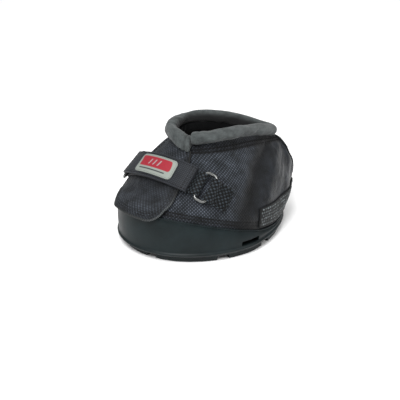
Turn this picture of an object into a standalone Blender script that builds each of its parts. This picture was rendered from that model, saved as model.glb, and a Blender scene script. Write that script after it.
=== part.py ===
# Horse hoof boot: a moulded rubber cup with a sewn fabric upper, a padded collar,
# two front flaps and a strap that folds back through a wire ring.
# Metres. +Z is up, the toe points to -Y, and the boot's left side is +X.
# The origin is the middle of the sole's ground face.
import math

import bmesh
import bpy
import numpy as np
from mathutils import Matrix, Vector

# Moulded cup and sole
SOLE_WIDTH = 0.1350
TOE_REACH = 0.0812
HEEL_REACH = 0.0820
WIDEST_PLACE = -0.0020
LUG_HEIGHT = 0.0040
FLOOR_HEIGHT = 0.0095
RIM_HEIGHT = 0.0082
RIM_RADIUS = 0.0014
RIM_STAND = 0.0009
WALL_START_SHARE = 1.6
SHOULDER_SHARE = 0.55
FLOOR_FILLET_SHARE = 0.6
TREAD_INSET = 0.0025
TREAD_TOE_INSET = 0.0050
CUP_TOE_HEIGHT = 0.0430
CUP_HEEL_HEIGHT = 0.0132
CUP_WALL = 0.0030
CUP_LIP_WALL = 0.0015
CUP_BULGE = 0.0011
CUP_SIDE_LEAN = 0.0012
CUP_TOE_LEAN = 0.0009
CUP_HEEL_LEAN = -0.0008
LIP_ROUND = 0.0006
FLOOR_FILLET = 0.0015
DRAIN_LENGTH = 0.0172
DRAIN_HEIGHT = 0.0036
DRAIN_ANGLE = 96.1
DRAIN_LIFT = 0.0020
# Height of the cup's lip, from the heel's (0) to the toe's (1), by angle from the toe
LIP_SHARES = ((0, 1.0), (30, 0.966), (50, 0.866), (70, 0.664), (90, 0.396), (110, 0.148), (130, 0.02),
              (180, 0.0))

# Tread lugs under the sole
LUG_GAP = 0.0085
LUG_BAND = 0.0170
LUG_TAPER = 0.0008
LUG_ROOT = 0.0005
LUG_EDGE_INSET = 0.0004
LUG_CORNER_STEPS = 6
# Angles from the toe of the gaps in the outer ring of lugs, the same on both sides
LUG_GAP_ANGLES = (22.0, 76.0, 116.0, 155.0)
INNER_LUG_COUNT = 6
INNER_LUG_SHARE = 0.62
CENTRE_LUG_WIDTH = 0.0240
CENTRE_LUG_LENGTH = 0.0340

# Insole board and footbed
BOARD_THICKNESS = 0.0015
FOOTBED_THICKNESS = 0.0050
BOARD_INSET = 0.0054
FOOTBED_INSET = 0.0060

# Fabric upper, from the cup's lip to the collar
QUARTER_INSET = 0.0019
TUCK_SHARE = 0.28
COLLAR_WIDTH = 0.0540
COLLAR_FRONT_REACH = 0.0295
COLLAR_BACK_REACH = 0.0740
COLLAR_WIDEST_PLACE = 0.0
COLLAR_EDGE_HEIGHT = 0.0902
COLLAR_DROP = 0.0145
HEEL_BULGE = 0.0238
FABRIC = 0.0014
LINING = 0.0022
# Rise along the upper, then how far it has narrowed, and how far the heel bulges
UPPER_SHARES = ((0.0, 0.0, 0.0), (0.05, 0.01, 0.185), (0.3, 0.09, 0.76), (0.55, 0.34, 1.0),
                (0.75, 0.60, 0.85), (1.0, 1.0, 0.0))
# Place along the collar from front to back, then how far its edge has dropped
COLLAR_DROP_SHARES = ((0.0, 0.0), (0.23, -0.17), (0.47, -0.034), (0.61, 0.14), (0.81, 0.52), (1.0, 1.0))
# How sharply the outline draws in behind its widest place, at the cup and at the collar
CUP_REAR_SHARES = (1.18, 1.18)
COLLAR_REAR_SHARES = (1.75, 1.25)
EASE_SHARE = 0.45

# Padded collar roll
COLLAR_ROLL_RADIUS = 0.0070
COLLAR_SPLIT_ANGLE = 38.0
COLLAR_END_TURN = 0.5

# Front flaps, with angles from the toe towards the left side
FLAP_HINGE_ANGLE = -34.7
FLAP_HINGE_CLEARANCE = 0.0005
FLAP_HINGE_STAND = 0.0016
FLAP_ROOT_STEP = 1.2
FLAP_TOP_SHARE = 0.965
FLAP_BOTTOM_SHARE = -0.10
FLAP_FABRIC = 0.0013
FLAP_LINING = 0.0007
FLAP_STAND_FAR = 0.0006
FLAP_STAND_NEAR = 0.0029
FLAP_STAND_LOW = 0.0052
FLAP_FLARE_SHARE = 0.24
FLAP_FLARE_TURN = 7.0
FLAP_ROOT_BOTTOM_SHARE = 0.045
FLAP_DROP_START = 7.5
FLAP_DROP_TURN = 14.0
FLAP_CORNER = 0.0110
# Height on the upper, then the free edge's angle
FLAP_EDGE_SHARES = ((-0.1, 32.5), (0.05, 33.0), (0.2, 35.0), (0.4, 35.5), (0.6, 37.5), (0.85, 39.0),
                    (1.0, 36.5))
BINDING_RADIUS = 0.0009
INNER_FLAP_HINGE_ANGLE = 31.0
INNER_FLAP_END_ANGLE = -4.0
INNER_FLAP_TOP_SHARE = 0.94
INNER_FLAP_BOTTOM_SHARE = 0.05
INNER_HINGE_STAND = 0.0015
TAPE = 0.0006
HOOK_PATCH_START = 4.0
HOOK_PATCH_END = 27.0
HOOK_PATCH_LOW_SHARE = 0.10
HOOK_PATCH_HIGH_SHARE = 0.90
QUARTER_FRONT_LEFT = 32.4
QUARTER_FRONT_RIGHT = -36.0

# Heel guard and back stay
HEEL_GUARD_ANGLE = 109.0
HEEL_GUARD_THICKNESS = 0.0012
HEEL_GUARD_LOW_SHARE = 0.02
HEEL_GUARD_HIGH_SHARE = 0.30
HEEL_GUARD_SLOPE_SHARE = 0.25
BACK_STAY_WIDTH = 0.0140
BACK_STAY_THICKNESS = 0.0010
BACK_STAY_LOW_SHARE = 0.37
BACK_STAY_HIGH_SHARE = 0.95

# Strap, its rings and webbing; the strap's path lies in one tilted plane
STRAP_WIDTH = 0.0245
STRAP_THICKNESS = 0.0015
STRAP_PLANE_OFFSET = 0.0189
STRAP_SIDE_TILT_SHARE = 0.25
STRAP_REAR_TILT_SHARE = 0.925
STRAP_NEAR_ANGLE = 47.0
STRAP_NEAR_STAND = 0.0037
STRAP_LIFT_ANGLE = 30.0
STRAP_LIFT_TURN = 11.0
STRAP_END_REACH = 0.0036
FOLD_REACH = 0.0031
TAIL_END_ANGLE = 46.6
TAIL_SETTLE_ANGLE = -18.0
TAIL_HOOK_START = -15.0
TAIL_HOOK_END = 43.0
LABEL_START = -20.0
LABEL_END = 29.8
LABEL_WIDTH = 0.0182
LABEL_THICKNESS = 0.0008
LABEL_CORNER = 0.0040
RING_WIRE = 0.0028
NEAR_RING_LENGTH = 0.0232
FAR_RING_LENGTH = 0.0262
RING_PITCH = 0.0105
RING_CORNER = 0.0034
NEAR_RING_ANGLE = 63.6
FAR_RING_ANGLE = -47.2
WEBBING_WIDTH = 0.0215
WEBBING_THICKNESS = 0.0012
WEBBING_LEG_GAP = 0.0003
WEBBING_HOLD = 0.0020
WEBBING_SETTLE = 0.0062
WEBBING_LEG_START = 0.0012
NEAR_ANCHOR_LENGTH = 0.0200
FAR_ANCHOR_LENGTH = 0.0118
STRAP_LOOP_LENGTH = 0.0104
UPPER_LEG_SHORTER = 0.0008

# Clearances between touching pieces
GAP = 0.0003
SEAM_GAP = 0.0003
RING_PLAY = 0.0004
CUTTER_OVERRUN = 0.0040

# Fineness of the modelled surfaces
SEGMENTS = 72
ANGLE_STEP = 6.0
NORMAL_STEP = 0.001
QUARTER_RISES = (0.0, 0.025, 0.05, 0.12, 0.2, 0.3, 0.42, 0.55, 0.68, 0.8, 0.9, 0.995)
BAND_COLUMNS = 5
RING_CORNER_STEPS = 5
LINING_RISES = (0.08, 0.2, 0.3, 0.42, 0.55, 0.68, 0.8, 0.9, 0.985)

COLOURS = {
    "rubber": ((0.075, 0.080, 0.080), 0.45, 0.0),
    "board": ((0.16, 0.12, 0.08), 0.85, 0.0),
    "foam": ((0.05, 0.05, 0.055), 0.90, 0.0),
    "nylon": ((0.055, 0.056, 0.060), 0.80, 0.0),
    "lining": ((0.035, 0.035, 0.040), 0.95, 0.0),
    "collar": ((0.23, 0.23, 0.23), 0.85, 0.0),
    "hook_tape": ((0.02, 0.02, 0.02), 0.95, 0.0),
    "webbing": ((0.02, 0.02, 0.02), 0.75, 0.0),
    "binding": ((0.20, 0.20, 0.19), 0.80, 0.0),
    "label": ((0.62, 0.63, 0.64), 0.50, 0.0),
    "guard": ((0.045, 0.048, 0.052), 0.60, 0.0),
    "steel": ((0.60, 0.60, 0.58), 0.25, 1.0),
}


def clear_scene():
    for thing in list(bpy.data.objects):
        bpy.data.objects.remove(thing, do_unlink=True)


def new_collection(name):
    collection = bpy.data.collections.new(name)
    bpy.context.scene.collection.children.link(collection)
    return collection


def finish_material(name):
    if name in bpy.data.materials:
        return bpy.data.materials[name]
    colour, roughness, metallic = COLOURS[name]
    material = bpy.data.materials.new(name)
    material.use_nodes = True
    shader = material.node_tree.nodes["Principled BSDF"]
    shader.inputs["Base Color"].default_value = (*colour, 1.0)
    shader.inputs["Roughness"].default_value = roughness
    shader.inputs["Metallic"].default_value = metallic
    return material


def mix(a, b, share):
    return a + (b - a) * share


def ease(share):
    share = np.clip(share, 0.0, 1.0)
    return share * share * (3.0 - 2.0 * share)


def read_shares(table, column, place):
    """A smooth curve through a table's rows that never overshoots them."""
    xs = np.array([row[0] for row in table], float)
    ys = np.array([row[column] for row in table], float)
    slopes = np.diff(ys) / np.diff(xs)
    ends = np.zeros(len(xs))
    inner = slopes[:-1] * slopes[1:] > 0
    ends[1:-1][inner] = 2.0 / (1.0 / slopes[:-1][inner] + 1.0 / slopes[1:][inner])
    ends[0] = slopes[0]
    ends[-1] = slopes[-1]
    place = np.clip(np.asarray(place, float), xs[0], xs[-1])
    row = np.clip(np.searchsorted(xs, place, side="right") - 1, 0, len(xs) - 2)
    width = xs[row + 1] - xs[row]
    t = (place - xs[row]) / width
    start = (1.0 + 2.0 * t) * (1.0 - t) ** 2 * ys[row]
    finish = t * t * (3.0 - 2.0 * t) * ys[row + 1]
    lean = t * (1.0 - t) ** 2 * width * ends[row] - t * t * (1.0 - t) * width * ends[row + 1]
    return start + finish + lean


def outline(angle, half_width, toe, widest, heel, rear=CUP_REAR_SHARES):
    """A plan outline by angle from the toe: an ellipse in front, drawn in behind."""
    side = np.sin(angle)
    ahead = np.cos(angle)
    across = np.abs(side)
    along = np.abs(ahead)
    side_power = 1.0 + (rear[0] - 1.0) * ease(across / EASE_SHARE)
    rear_power = 1.0 + (rear[1] - 1.0) * ease(along / EASE_SHARE)
    behind = ahead < 0.0
    x = half_width * np.sign(side) * np.where(behind, across ** side_power, across)
    rear_part = widest + (heel - widest) * along ** rear_power
    y = np.where(behind, rear_part, widest - (toe + widest) * along)
    return x, y


def cup_outline(angle, rise, inset):
    """The cup's outer face at a share of its height, drawn in by an inset."""
    swell = CUP_BULGE * np.sin(math.pi * np.clip(rise, 0.0, 1.0))
    half_width = SOLE_WIDTH / 2 - CUP_SIDE_LEAN * rise + swell - inset
    toe = TOE_REACH - CUP_TOE_LEAN * rise + swell - inset
    heel = HEEL_REACH - CUP_HEEL_LEAN * rise - inset
    return outline(angle, half_width, toe, WIDEST_PLACE, heel)


def lip_height(angle):
    """Height of the cup's lip at an angle from the toe."""
    turn = np.degrees(np.abs((angle + math.pi) % (2 * math.pi) - math.pi))
    return mix(CUP_HEEL_HEIGHT, CUP_TOE_HEIGHT, read_shares(LIP_SHARES, 1, turn))


def collar_edge(angle):
    """Plan place and height of the upper's top edge."""
    x, y = outline(angle, COLLAR_WIDTH / 2, COLLAR_FRONT_REACH, COLLAR_WIDEST_PLACE, COLLAR_BACK_REACH,
                   COLLAR_REAR_SHARES)
    place = (y + COLLAR_FRONT_REACH) / (COLLAR_FRONT_REACH + COLLAR_BACK_REACH)
    z = COLLAR_EDGE_HEIGHT - COLLAR_DROP * read_shares(COLLAR_DROP_SHARES, 1, place)
    return x, y, z


def upper_face(angle, rise):
    """The upper's outer face, from the cup's lip (rise 0) to the collar (rise 1)."""
    narrowing = read_shares(UPPER_SHARES, 1, rise)
    bulge = read_shares(UPPER_SHARES, 2, rise)
    held = np.clip(rise, 0.0, 1.0)
    half_width = mix(SOLE_WIDTH / 2 - CUP_SIDE_LEAN - QUARTER_INSET, COLLAR_WIDTH / 2, narrowing)
    toe = mix(TOE_REACH - CUP_TOE_LEAN - QUARTER_INSET, COLLAR_FRONT_REACH, rise)
    widest = mix(WIDEST_PLACE, COLLAR_WIDEST_PLACE, held)
    heel = mix(HEEL_REACH - CUP_HEEL_LEAN - QUARTER_INSET, COLLAR_BACK_REACH, held) + HEEL_BULGE * bulge
    side_power = mix(CUP_REAR_SHARES[0], COLLAR_REAR_SHARES[0], held)
    rear_power = mix(CUP_REAR_SHARES[1], COLLAR_REAR_SHARES[1], held)
    x, y = outline(angle, half_width, toe, widest, heel, (side_power, rear_power))
    low = lip_height(angle)
    z = mix(low, collar_edge(angle)[2], rise)
    return np.stack([x, y, z], -1)


def outward(angle, rise):
    """Unit normal of the upper's face."""
    held = np.clip(rise, 0.02, 0.98)
    along = upper_face(angle + NORMAL_STEP, held) - upper_face(angle - NORMAL_STEP, held)
    up = upper_face(angle, held + NORMAL_STEP) - upper_face(angle, held - NORMAL_STEP)
    normal = np.cross(along, up)
    return normal / np.linalg.norm(normal, axis=-1, keepdims=True)


def skin(angle, rise, stand):
    """A point that stands off the upper's face."""
    angle, rise, stand = np.broadcast_arrays(angle, rise, stand)
    return upper_face(angle, rise) + np.asarray(stand)[..., None] * outward(angle, rise)


def radians(degrees):
    return np.radians(np.asarray(degrees, float))


def angle_row(start, end, step=ANGLE_STEP):
    count = max(2, int(math.ceil(abs(end - start) / step)) + 1)
    return radians(np.linspace(start, end, count))


def link(mesh, name, finish):
    mesh.materials.append(finish_material(finish))
    thing = bpy.data.objects.new(name, mesh)
    PARTS.objects.link(thing)
    return thing


def closed_mesh(name, verts, faces, finish, smooth=True):
    mesh = bpy.data.meshes.new(name)
    mesh.from_pydata([tuple(float(c) for c in v) for v in verts], [], faces)
    work = bmesh.new()
    work.from_mesh(mesh)
    bmesh.ops.recalc_face_normals(work, faces=work.faces)
    work.to_mesh(mesh)
    work.free()
    if smooth:
        mesh.shade_smooth()
        mesh.set_sharp_from_angle(angle=math.radians(40.0))
    return link(mesh, name, finish)


def slab(name, inner, outer, finish):
    """A closed body between two matching grids of points."""
    rows, columns = inner.shape[:2]
    verts = np.concatenate([inner.reshape(-1, 3), outer.reshape(-1, 3)])
    shift = rows * columns
    faces = []
    for r in range(rows - 1):
        for c in range(columns - 1):
            near = r * columns + c
            far = near + columns
            faces.append((near, near + 1, far + 1, far))
            faces.append((near + shift, far + shift, far + 1 + shift, near + 1 + shift))
    top = (rows - 1) * columns
    for c in range(columns - 1):
        faces.append((c, c + shift, c + 1 + shift, c + 1))
        faces.append((top + c, top + c + 1, top + c + 1 + shift, top + c + shift))
    for r in range(rows - 1):
        for c in (0, columns - 1):
            a, b = r * columns + c, (r + 1) * columns + c
            faces.append((a, b, b + shift, a + shift))
    return closed_mesh(name, verts, faces, finish)


def tube(name, points, radius, finish, closed=False, sides=2):
    """A round bar along points."""
    curve = bpy.data.curves.new(name, "CURVE")
    curve.dimensions = "3D"
    curve.bevel_depth = radius
    curve.bevel_resolution = sides
    curve.use_fill_caps = not closed
    spline = curve.splines.new("POLY")
    spline.points.add(len(points) - 1)
    for spot, place in zip(spline.points, points):
        spot.co = (*[float(c) for c in place], 1.0)
    spline.use_cyclic_u = closed
    guide = bpy.data.objects.new(name + "_path", curve)
    PARTS.objects.link(guide)
    bpy.context.view_layer.update()
    mesh = bpy.data.meshes.new_from_object(guide.evaluated_get(bpy.context.evaluated_depsgraph_get()))
    bpy.data.objects.remove(guide, do_unlink=True)
    work = bmesh.new()
    work.from_mesh(mesh)
    bmesh.ops.remove_doubles(work, verts=work.verts, dist=radius / 100)
    bmesh.ops.recalc_face_normals(work, faces=work.faces)
    work.to_mesh(mesh)
    work.free()
    mesh.materials.clear()
    mesh.shade_smooth()
    mesh.set_sharp_from_angle(angle=math.radians(50.0))
    return link(mesh, name, finish)


# Moulded outsole: tread, sole plate, rim bead, cup wall and lip in one piece
def make_outsole():
    angle = np.linspace(0.0, 2 * math.pi, SEGMENTS, endpoint=False)
    lip = lip_height(angle)
    wall_start = RIM_HEIGHT + WALL_START_SHARE * RIM_RADIUS
    loops = []
    tread = outline(angle, SOLE_WIDTH / 2 - TREAD_INSET, TOE_REACH - TREAD_TOE_INSET, WIDEST_PLACE,
                    HEEL_REACH - TREAD_INSET)
    loops.append((tread, LUG_HEIGHT + 0 * lip))
    half_inset = TREAD_INSET / 2
    shoulder = outline(angle, SOLE_WIDTH / 2 - half_inset, TOE_REACH - TREAD_TOE_INSET / 2, WIDEST_PLACE,
                       HEEL_REACH - half_inset)
    loops.append((shoulder, mix(LUG_HEIGHT, RIM_HEIGHT - RIM_RADIUS, SHOULDER_SHARE) + 0 * lip))
    for turn in (-1.0, -0.5, 0.0, 0.5, 1.0):
        stand = RIM_STAND * math.cos(turn * math.pi / 2)
        loops.append((cup_outline(angle, 0.0, -stand), RIM_HEIGHT + turn * RIM_RADIUS + 0 * lip))
    for share in (0.0, 0.3, 0.65):
        loops.append((cup_outline(angle, share, CUP_LIP_WALL / 4), mix(wall_start, lip - LIP_ROUND, share)))
    loops.append((cup_outline(angle, 1.0, 0.0), lip - LIP_ROUND))
    loops.append((cup_outline(angle, 1.0, LIP_ROUND / 2), lip))
    loops.append((cup_outline(angle, 1.0, CUP_LIP_WALL - LIP_ROUND / 3), lip))
    loops.append((cup_outline(angle, 1.0, CUP_LIP_WALL), lip - LIP_ROUND / 2))
    tuck = lip - TUCK_SHARE * (lip - FLOOR_HEIGHT)
    loops.append((cup_outline(angle, 1.0 - TUCK_SHARE, CUP_WALL), tuck))
    low = np.minimum(FLOOR_HEIGHT + FLOOR_FILLET, mix(FLOOR_HEIGHT, tuck, FLOOR_FILLET_SHARE))
    for share in (0.45, 0.0):
        loops.append((cup_outline(angle, (1.0 - TUCK_SHARE) * share, CUP_WALL), mix(low, tuck, share)))
    loops.append((cup_outline(angle, 0.0, CUP_WALL + FLOOR_FILLET), FLOOR_HEIGHT + 0 * lip))
    verts = np.concatenate([np.stack([xy[0], xy[1], z], -1) for xy, z in loops])
    faces = []
    for r in range(len(loops) - 1):
        for c in range(SEGMENTS):
            d = (c + 1) % SEGMENTS
            base = r * SEGMENTS
            faces.append((base + c, base + d, base + SEGMENTS + d, base + SEGMENTS + c))
    faces.append(tuple(range(SEGMENTS)))
    faces.append(tuple(range(len(verts) - SEGMENTS, len(verts))))
    sole = closed_mesh("outsole", verts, faces, "rubber")
    join_lugs(sole)
    for side, name in ((1, "left_drain_cutter"), (-1, "right_drain_cutter")):
        cut_away(sole, drain_cutter(name, side))
    return sole


def tread_outline(angle, share):
    """The tread's outer line, shrunk towards the middle of the sole."""
    x, y = outline(angle, SOLE_WIDTH / 2 - TREAD_INSET, TOE_REACH - TREAD_TOE_INSET, WIDEST_PLACE,
                   HEEL_REACH - TREAD_INSET)
    return np.stack([x * share, y * share], -1)


def lug_prism(work, edge):
    """One lug from its flat outline, a little smaller where it meets the ground."""
    middle = edge.mean(axis=0)
    reach = np.linalg.norm(edge - middle, axis=1).max()
    foot = middle + (edge - middle) * (1.0 - LUG_TAPER / reach)
    low = [work.verts.new((p[0], p[1], 0.0)) for p in foot]
    high = [work.verts.new((p[0], p[1], LUG_HEIGHT + LUG_ROOT)) for p in edge]
    work.faces.new(low)
    work.faces.new(high)
    for i in range(len(edge)):
        j = (i + 1) % len(edge)
        work.faces.new((low[i], low[j], high[j], high[i]))


def lug_edges():
    """Flat outlines of the outer ring of lugs, the inner ring and the centre lug."""
    edges = []
    reach = (SOLE_WIDTH / 2 + TOE_REACH) / 2
    gap_turn = math.degrees(LUG_GAP / reach)
    gaps = [*LUG_GAP_ANGLES, *[360.0 - angle for angle in reversed(LUG_GAP_ANGLES)]]
    for start, end in zip(gaps, gaps[1:] + [gaps[0] + 360.0]):
        turns = radians(np.linspace(start + gap_turn / 2, end - gap_turn / 2, LUG_CORNER_STEPS))
        outer = tread_outline(turns, 1.0 - LUG_EDGE_INSET / reach)
        inner = tread_outline(turns, 1.0 - LUG_BAND / reach)
        edges.append(np.concatenate([outer, inner[::-1]]))
    pitch = 360.0 / INNER_LUG_COUNT
    inner_share = 1.0 - (LUG_BAND + LUG_GAP / 2) / reach
    inner_gap = math.degrees(LUG_GAP / (reach * inner_share)) / 2
    for i in range(INNER_LUG_COUNT):
        start = i * pitch + inner_gap
        turns = radians(np.linspace(start, start + pitch - 2 * inner_gap, LUG_CORNER_STEPS))
        outer = tread_outline(turns, inner_share)
        inner = tread_outline(turns, inner_share * INNER_LUG_SHARE)
        edges.append(np.concatenate([outer, inner[::-1]]))
    w, l = CENTRE_LUG_WIDTH / 2, CENTRE_LUG_LENGTH / 2
    edges.append(np.array([(-w, -l / 2), (0.0, -l), (w, -l / 2), (w, l / 2), (0.0, l), (-w, l / 2)]))
    return edges


def join_lugs(sole):
    work = bmesh.new()
    for edge in lug_edges():
        lug_prism(work, edge)
    bmesh.ops.recalc_face_normals(work, faces=work.faces)
    mesh = bpy.data.meshes.new("lugs")
    work.to_mesh(mesh)
    work.free()
    lugs = bpy.data.objects.new("tread_lugs", mesh)
    CUTTERS.objects.link(lugs)
    hide(lugs)
    add_boolean(sole, lugs, "UNION")


def drain_cutter(name, side):
    """A slot across the cup's wall, just over the rim bead."""
    angle = radians(DRAIN_ANGLE * side)
    x, y = cup_outline(angle, 0.0, CUP_WALL / 2)
    ahead = cup_outline(angle + NORMAL_STEP, 0.0, 0.0)
    back = cup_outline(angle - NORMAL_STEP, 0.0, 0.0)
    turn = math.atan2(float(ahead[1] - back[1]), float(ahead[0] - back[0]))
    middle = RIM_HEIGHT + DRAIN_LIFT + DRAIN_HEIGHT / 2
    bpy.ops.mesh.primitive_cube_add(size=1.0, location=(float(x), float(y), middle))
    cutter = bpy.context.object
    cutter.name = name
    cutter.rotation_euler = (0.0, 0.0, turn)
    cutter.scale = (DRAIN_LENGTH, CUP_WALL + 2 * CUTTER_OVERRUN, DRAIN_HEIGHT)
    for owner in list(cutter.users_collection):
        owner.objects.unlink(cutter)
    CUTTERS.objects.link(cutter)
    hide(cutter)
    return cutter


def hide(cutter):
    cutter.hide_render = True
    cutter.display_type = "WIRE"


def cut_away(body, cutter):
    add_boolean(body, cutter, "DIFFERENCE")


def add_boolean(body, other, operation):
    step = body.modifiers.new(operation.lower() + "_" + other.name, "BOOLEAN")
    step.operation = operation
    step.object = other
    step.solver = "EXACT"


# Insole board and footbed, laid on the cup's floor
def make_floor_layer(name, base, thickness, inset, finish):
    angle = np.linspace(0.0, 2 * math.pi, SEGMENTS // 2, endpoint=False)
    x, y = cup_outline(angle, 0.0, inset)
    count = len(angle)
    low = np.stack([x, y, base + 0 * x], -1)
    high = np.stack([x, y, base + thickness + 0 * x], -1)
    faces = [tuple(range(count)), tuple(range(count, 2 * count))]
    faces += [(i, (i + 1) % count, count + (i + 1) % count, count + i) for i in range(count)]
    return closed_mesh(name, np.concatenate([low, high]), faces, finish)


# Fabric quarters, tucked inside the cup and joined along the back seam
def make_quarter(name, front, side):
    angles = angle_row(front, 180.0 * side)
    angle, rise = np.meshgrid(angles, QUARTER_RISES)
    outer = skin(angle, rise, 0.0)
    inner = skin(angle, rise, -FABRIC)
    lip = lip_height(angles)
    tuck = lip - TUCK_SHARE * (lip - FLOOR_HEIGHT)
    tuck_inset = CUP_WALL + QUARTER_INSET - CUP_LIP_WALL
    outer_tuck = cup_outline(angles, 1.0 - TUCK_SHARE, tuck_inset)
    inner_tuck = cup_outline(angles, 1.0 - TUCK_SHARE, tuck_inset + FABRIC)
    outer = np.concatenate([np.stack([*outer_tuck, tuck], -1)[None], outer])
    inner = np.concatenate([np.stack([*inner_tuck, tuck], -1)[None], inner])
    return slab(name, keep_side(inner, side), keep_side(outer, side), "nylon")


def keep_side(points, side):
    """Holds a half's points on its own side of the back seam."""
    points = points.copy()
    points[..., 0] = side * np.maximum(points[..., 0] * side, SEAM_GAP / 2)
    return points


def make_lining(name, front, side):
    angle, rise = np.meshgrid(angle_row(front, 180.0 * side), LINING_RISES)
    inner = skin(angle, rise, -FABRIC - GAP - LINING)
    outer = skin(angle, rise, -FABRIC - GAP)
    return slab(name, keep_side(inner, side), keep_side(outer, side), "lining")


# Heel guard round the base of the heel, and the stay over the back seam
def make_heel_guard():
    angles = angle_row(HEEL_GUARD_ANGLE, 360.0 - HEEL_GUARD_ANGLE)
    shares = np.linspace(0.0, 1.0, 5)
    angle, share = np.meshgrid(angles, shares)
    to_side = np.abs(angle - math.pi) / (angles[-1] - math.pi)
    top = HEEL_GUARD_HIGH_SHARE * (1.0 - HEEL_GUARD_SLOPE_SHARE * ease(to_side))
    rise = mix(HEEL_GUARD_LOW_SHARE, top, share)
    return slab("heel_guard", skin(angle, rise, GAP), skin(angle, rise, GAP + HEEL_GUARD_THICKNESS), "guard")


def make_back_stay():
    rises = np.linspace(BACK_STAY_LOW_SHARE, BACK_STAY_HIGH_SHARE, 8)
    shares = np.linspace(-0.5, 0.5, 7)
    share, rise = np.meshgrid(shares, rises)
    step = radians(1.0)
    spread = np.linalg.norm(upper_face(math.pi + step, rise) - upper_face(math.pi - step, rise), axis=-1)
    angle = math.pi + share * BACK_STAY_WIDTH * 2 * step / spread
    return slab("back_stay", skin(angle, rise, GAP), skin(angle, rise, GAP + BACK_STAY_THICKNESS), "nylon")


# Padded collar roll, split where the outer flap carries its own stretch
def collar_line(start, end, step=ANGLE_STEP):
    row = angle_row(start, end, step)
    end_turn = radians(COLLAR_END_TURN)
    row = np.insert(row, (1, len(row) - 1), (row[0] + end_turn, row[-1] - end_turn))
    x, y, z = collar_edge(row)
    return np.stack([x, y, z + COLLAR_ROLL_RADIUS + GAP], -1)


def make_collars():
    half_gap = math.degrees(GAP / (COLLAR_WIDTH / 2))
    front_start = FLAP_HINGE_ANGLE + FLAP_ROOT_STEP
    back_end = 360.0 + FLAP_HINGE_ANGLE - FLAP_ROOT_STEP
    back = collar_line(COLLAR_SPLIT_ANGLE + half_gap, back_end)
    front = collar_line(front_start, COLLAR_SPLIT_ANGLE - half_gap)
    tube("collar_back", back, COLLAR_ROLL_RADIUS, "collar", sides=4)
    return tube("collar_front", front, COLLAR_ROLL_RADIUS, "collar", sides=4)


# Outer front flap: it hangs outside the cup's lip at the toe
def flap_share(angle):
    """Place across the flap, from its hinge (0) to the collar's split (1)."""
    turn = np.degrees(angle) - FLAP_HINGE_ANGLE
    return np.clip(turn / (COLLAR_SPLIT_ANGLE - FLAP_HINGE_ANGLE), 0.0, 1.0)


def flap_stand(angle, rise):
    """How far the flap's outer face stands off the upper's face."""
    plain = mix(FLAP_STAND_FAR, FLAP_STAND_NEAR, flap_share(angle))
    flare = ease((FLAP_FLARE_SHARE - rise) / FLAP_FLARE_SHARE)
    freed = ease((np.degrees(angle) - FLAP_HINGE_ANGLE - FLAP_ROOT_STEP) / FLAP_FLARE_TURN)
    return mix(plain, FLAP_STAND_LOW, flare * freed)


def flap_bottom(angle):
    """Rise of the flap's lower edge: over the cup's lip, except by the hinge."""
    freed = ease((np.degrees(angle) - FLAP_HINGE_ANGLE - FLAP_DROP_START) / FLAP_DROP_TURN)
    return mix(FLAP_ROOT_BOTTOM_SHARE, FLAP_BOTTOM_SHARE, freed)


def flap_height():
    """Length of the flap from top to bottom, along the toe."""
    rises = np.linspace(FLAP_BOTTOM_SHARE, FLAP_TOP_SHARE, 20)
    return float(np.linalg.norm(np.diff(upper_face(0 * rises, rises), axis=0), axis=1).sum())


def flap_grid(rows, columns, inset=0.0):
    """Angles and rises over the flap, with its lower free corner rounded."""
    length = flap_height()
    edge = inset / length
    down = edge + np.linspace(0.0, 1.0, rows) ** 0.8 * (1.0 - 2 * edge)
    rise = mix(FLAP_TOP_SHARE, FLAP_BOTTOM_SHARE, down)
    into = np.clip(1.0 - (1.0 - edge - down) * length / FLAP_CORNER, 0.0, 1.0)
    trim = FLAP_CORNER * (1.0 - np.sqrt(1.0 - into ** 2)) + inset
    radius = np.linalg.norm(upper_face(0.0 * rise, rise)[:, :2], axis=1)
    near = read_shares(FLAP_EDGE_SHARES, 1, rise) - np.degrees(trim / radius)
    far = FLAP_HINGE_ANGLE + FLAP_ROOT_STEP + 0 * near
    angle = radians(far[:, None] + (near - far)[:, None] * np.linspace(0.0, 1.0, columns))
    return angle, mix(FLAP_TOP_SHARE, flap_bottom(angle), down[:, None])


def make_outer_flap():
    angle, rise = flap_grid(15, 14)
    top = flap_stand(angle, rise)
    flap = slab("outer_flap", skin(angle, rise, top - FLAP_FABRIC), skin(angle, rise, top), "nylon")
    angle, rise = flap_grid(15, 14, 2 * BINDING_RADIUS)
    top = flap_stand(angle, rise) - FLAP_FABRIC - GAP
    lining = slab("flap_lining", skin(angle, rise, top - FLAP_LINING), skin(angle, rise, top), "lining")
    return flap, lining


def make_flap_binding():
    """The bound edge, along the free side and the bottom."""
    angle, rise = flap_grid(22, 14, -BINDING_RADIUS - 2 * GAP)
    side = [(angle[r, -1], rise[r, -1]) for r in range(3, len(angle) - 1)]
    bottom = [(angle[-1, c], rise[-1, c]) for c in range(len(angle[0]) - 1, 1, -1)]
    path = np.array(side + bottom)
    stand = flap_stand(path[:, 0], path[:, 1]) - FLAP_FABRIC / 2
    return tube("flap_binding", skin(path[:, 0], path[:, 1], stand), BINDING_RADIUS, "binding", sides=1)


def make_hook_patches():
    angles = angle_row(HOOK_PATCH_START, HOOK_PATCH_END)
    rises = np.linspace(HOOK_PATCH_LOW_SHARE, HOOK_PATCH_HIGH_SHARE, 8)
    angle, rise = np.meshgrid(angles, rises)
    top = flap_stand(angle, rise) - FLAP_FABRIC - GAP - FLAP_LINING - GAP
    hook = slab("flap_hook_patch", skin(angle, rise, top - TAPE), skin(angle, rise, top), "hook_tape")
    top = inner_flap_stand(angle) + GAP + TAPE
    loop = slab("inner_flap_loop_patch", skin(angle, rise, top - TAPE), skin(angle, rise, top), "hook_tape")
    return hook, loop


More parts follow.
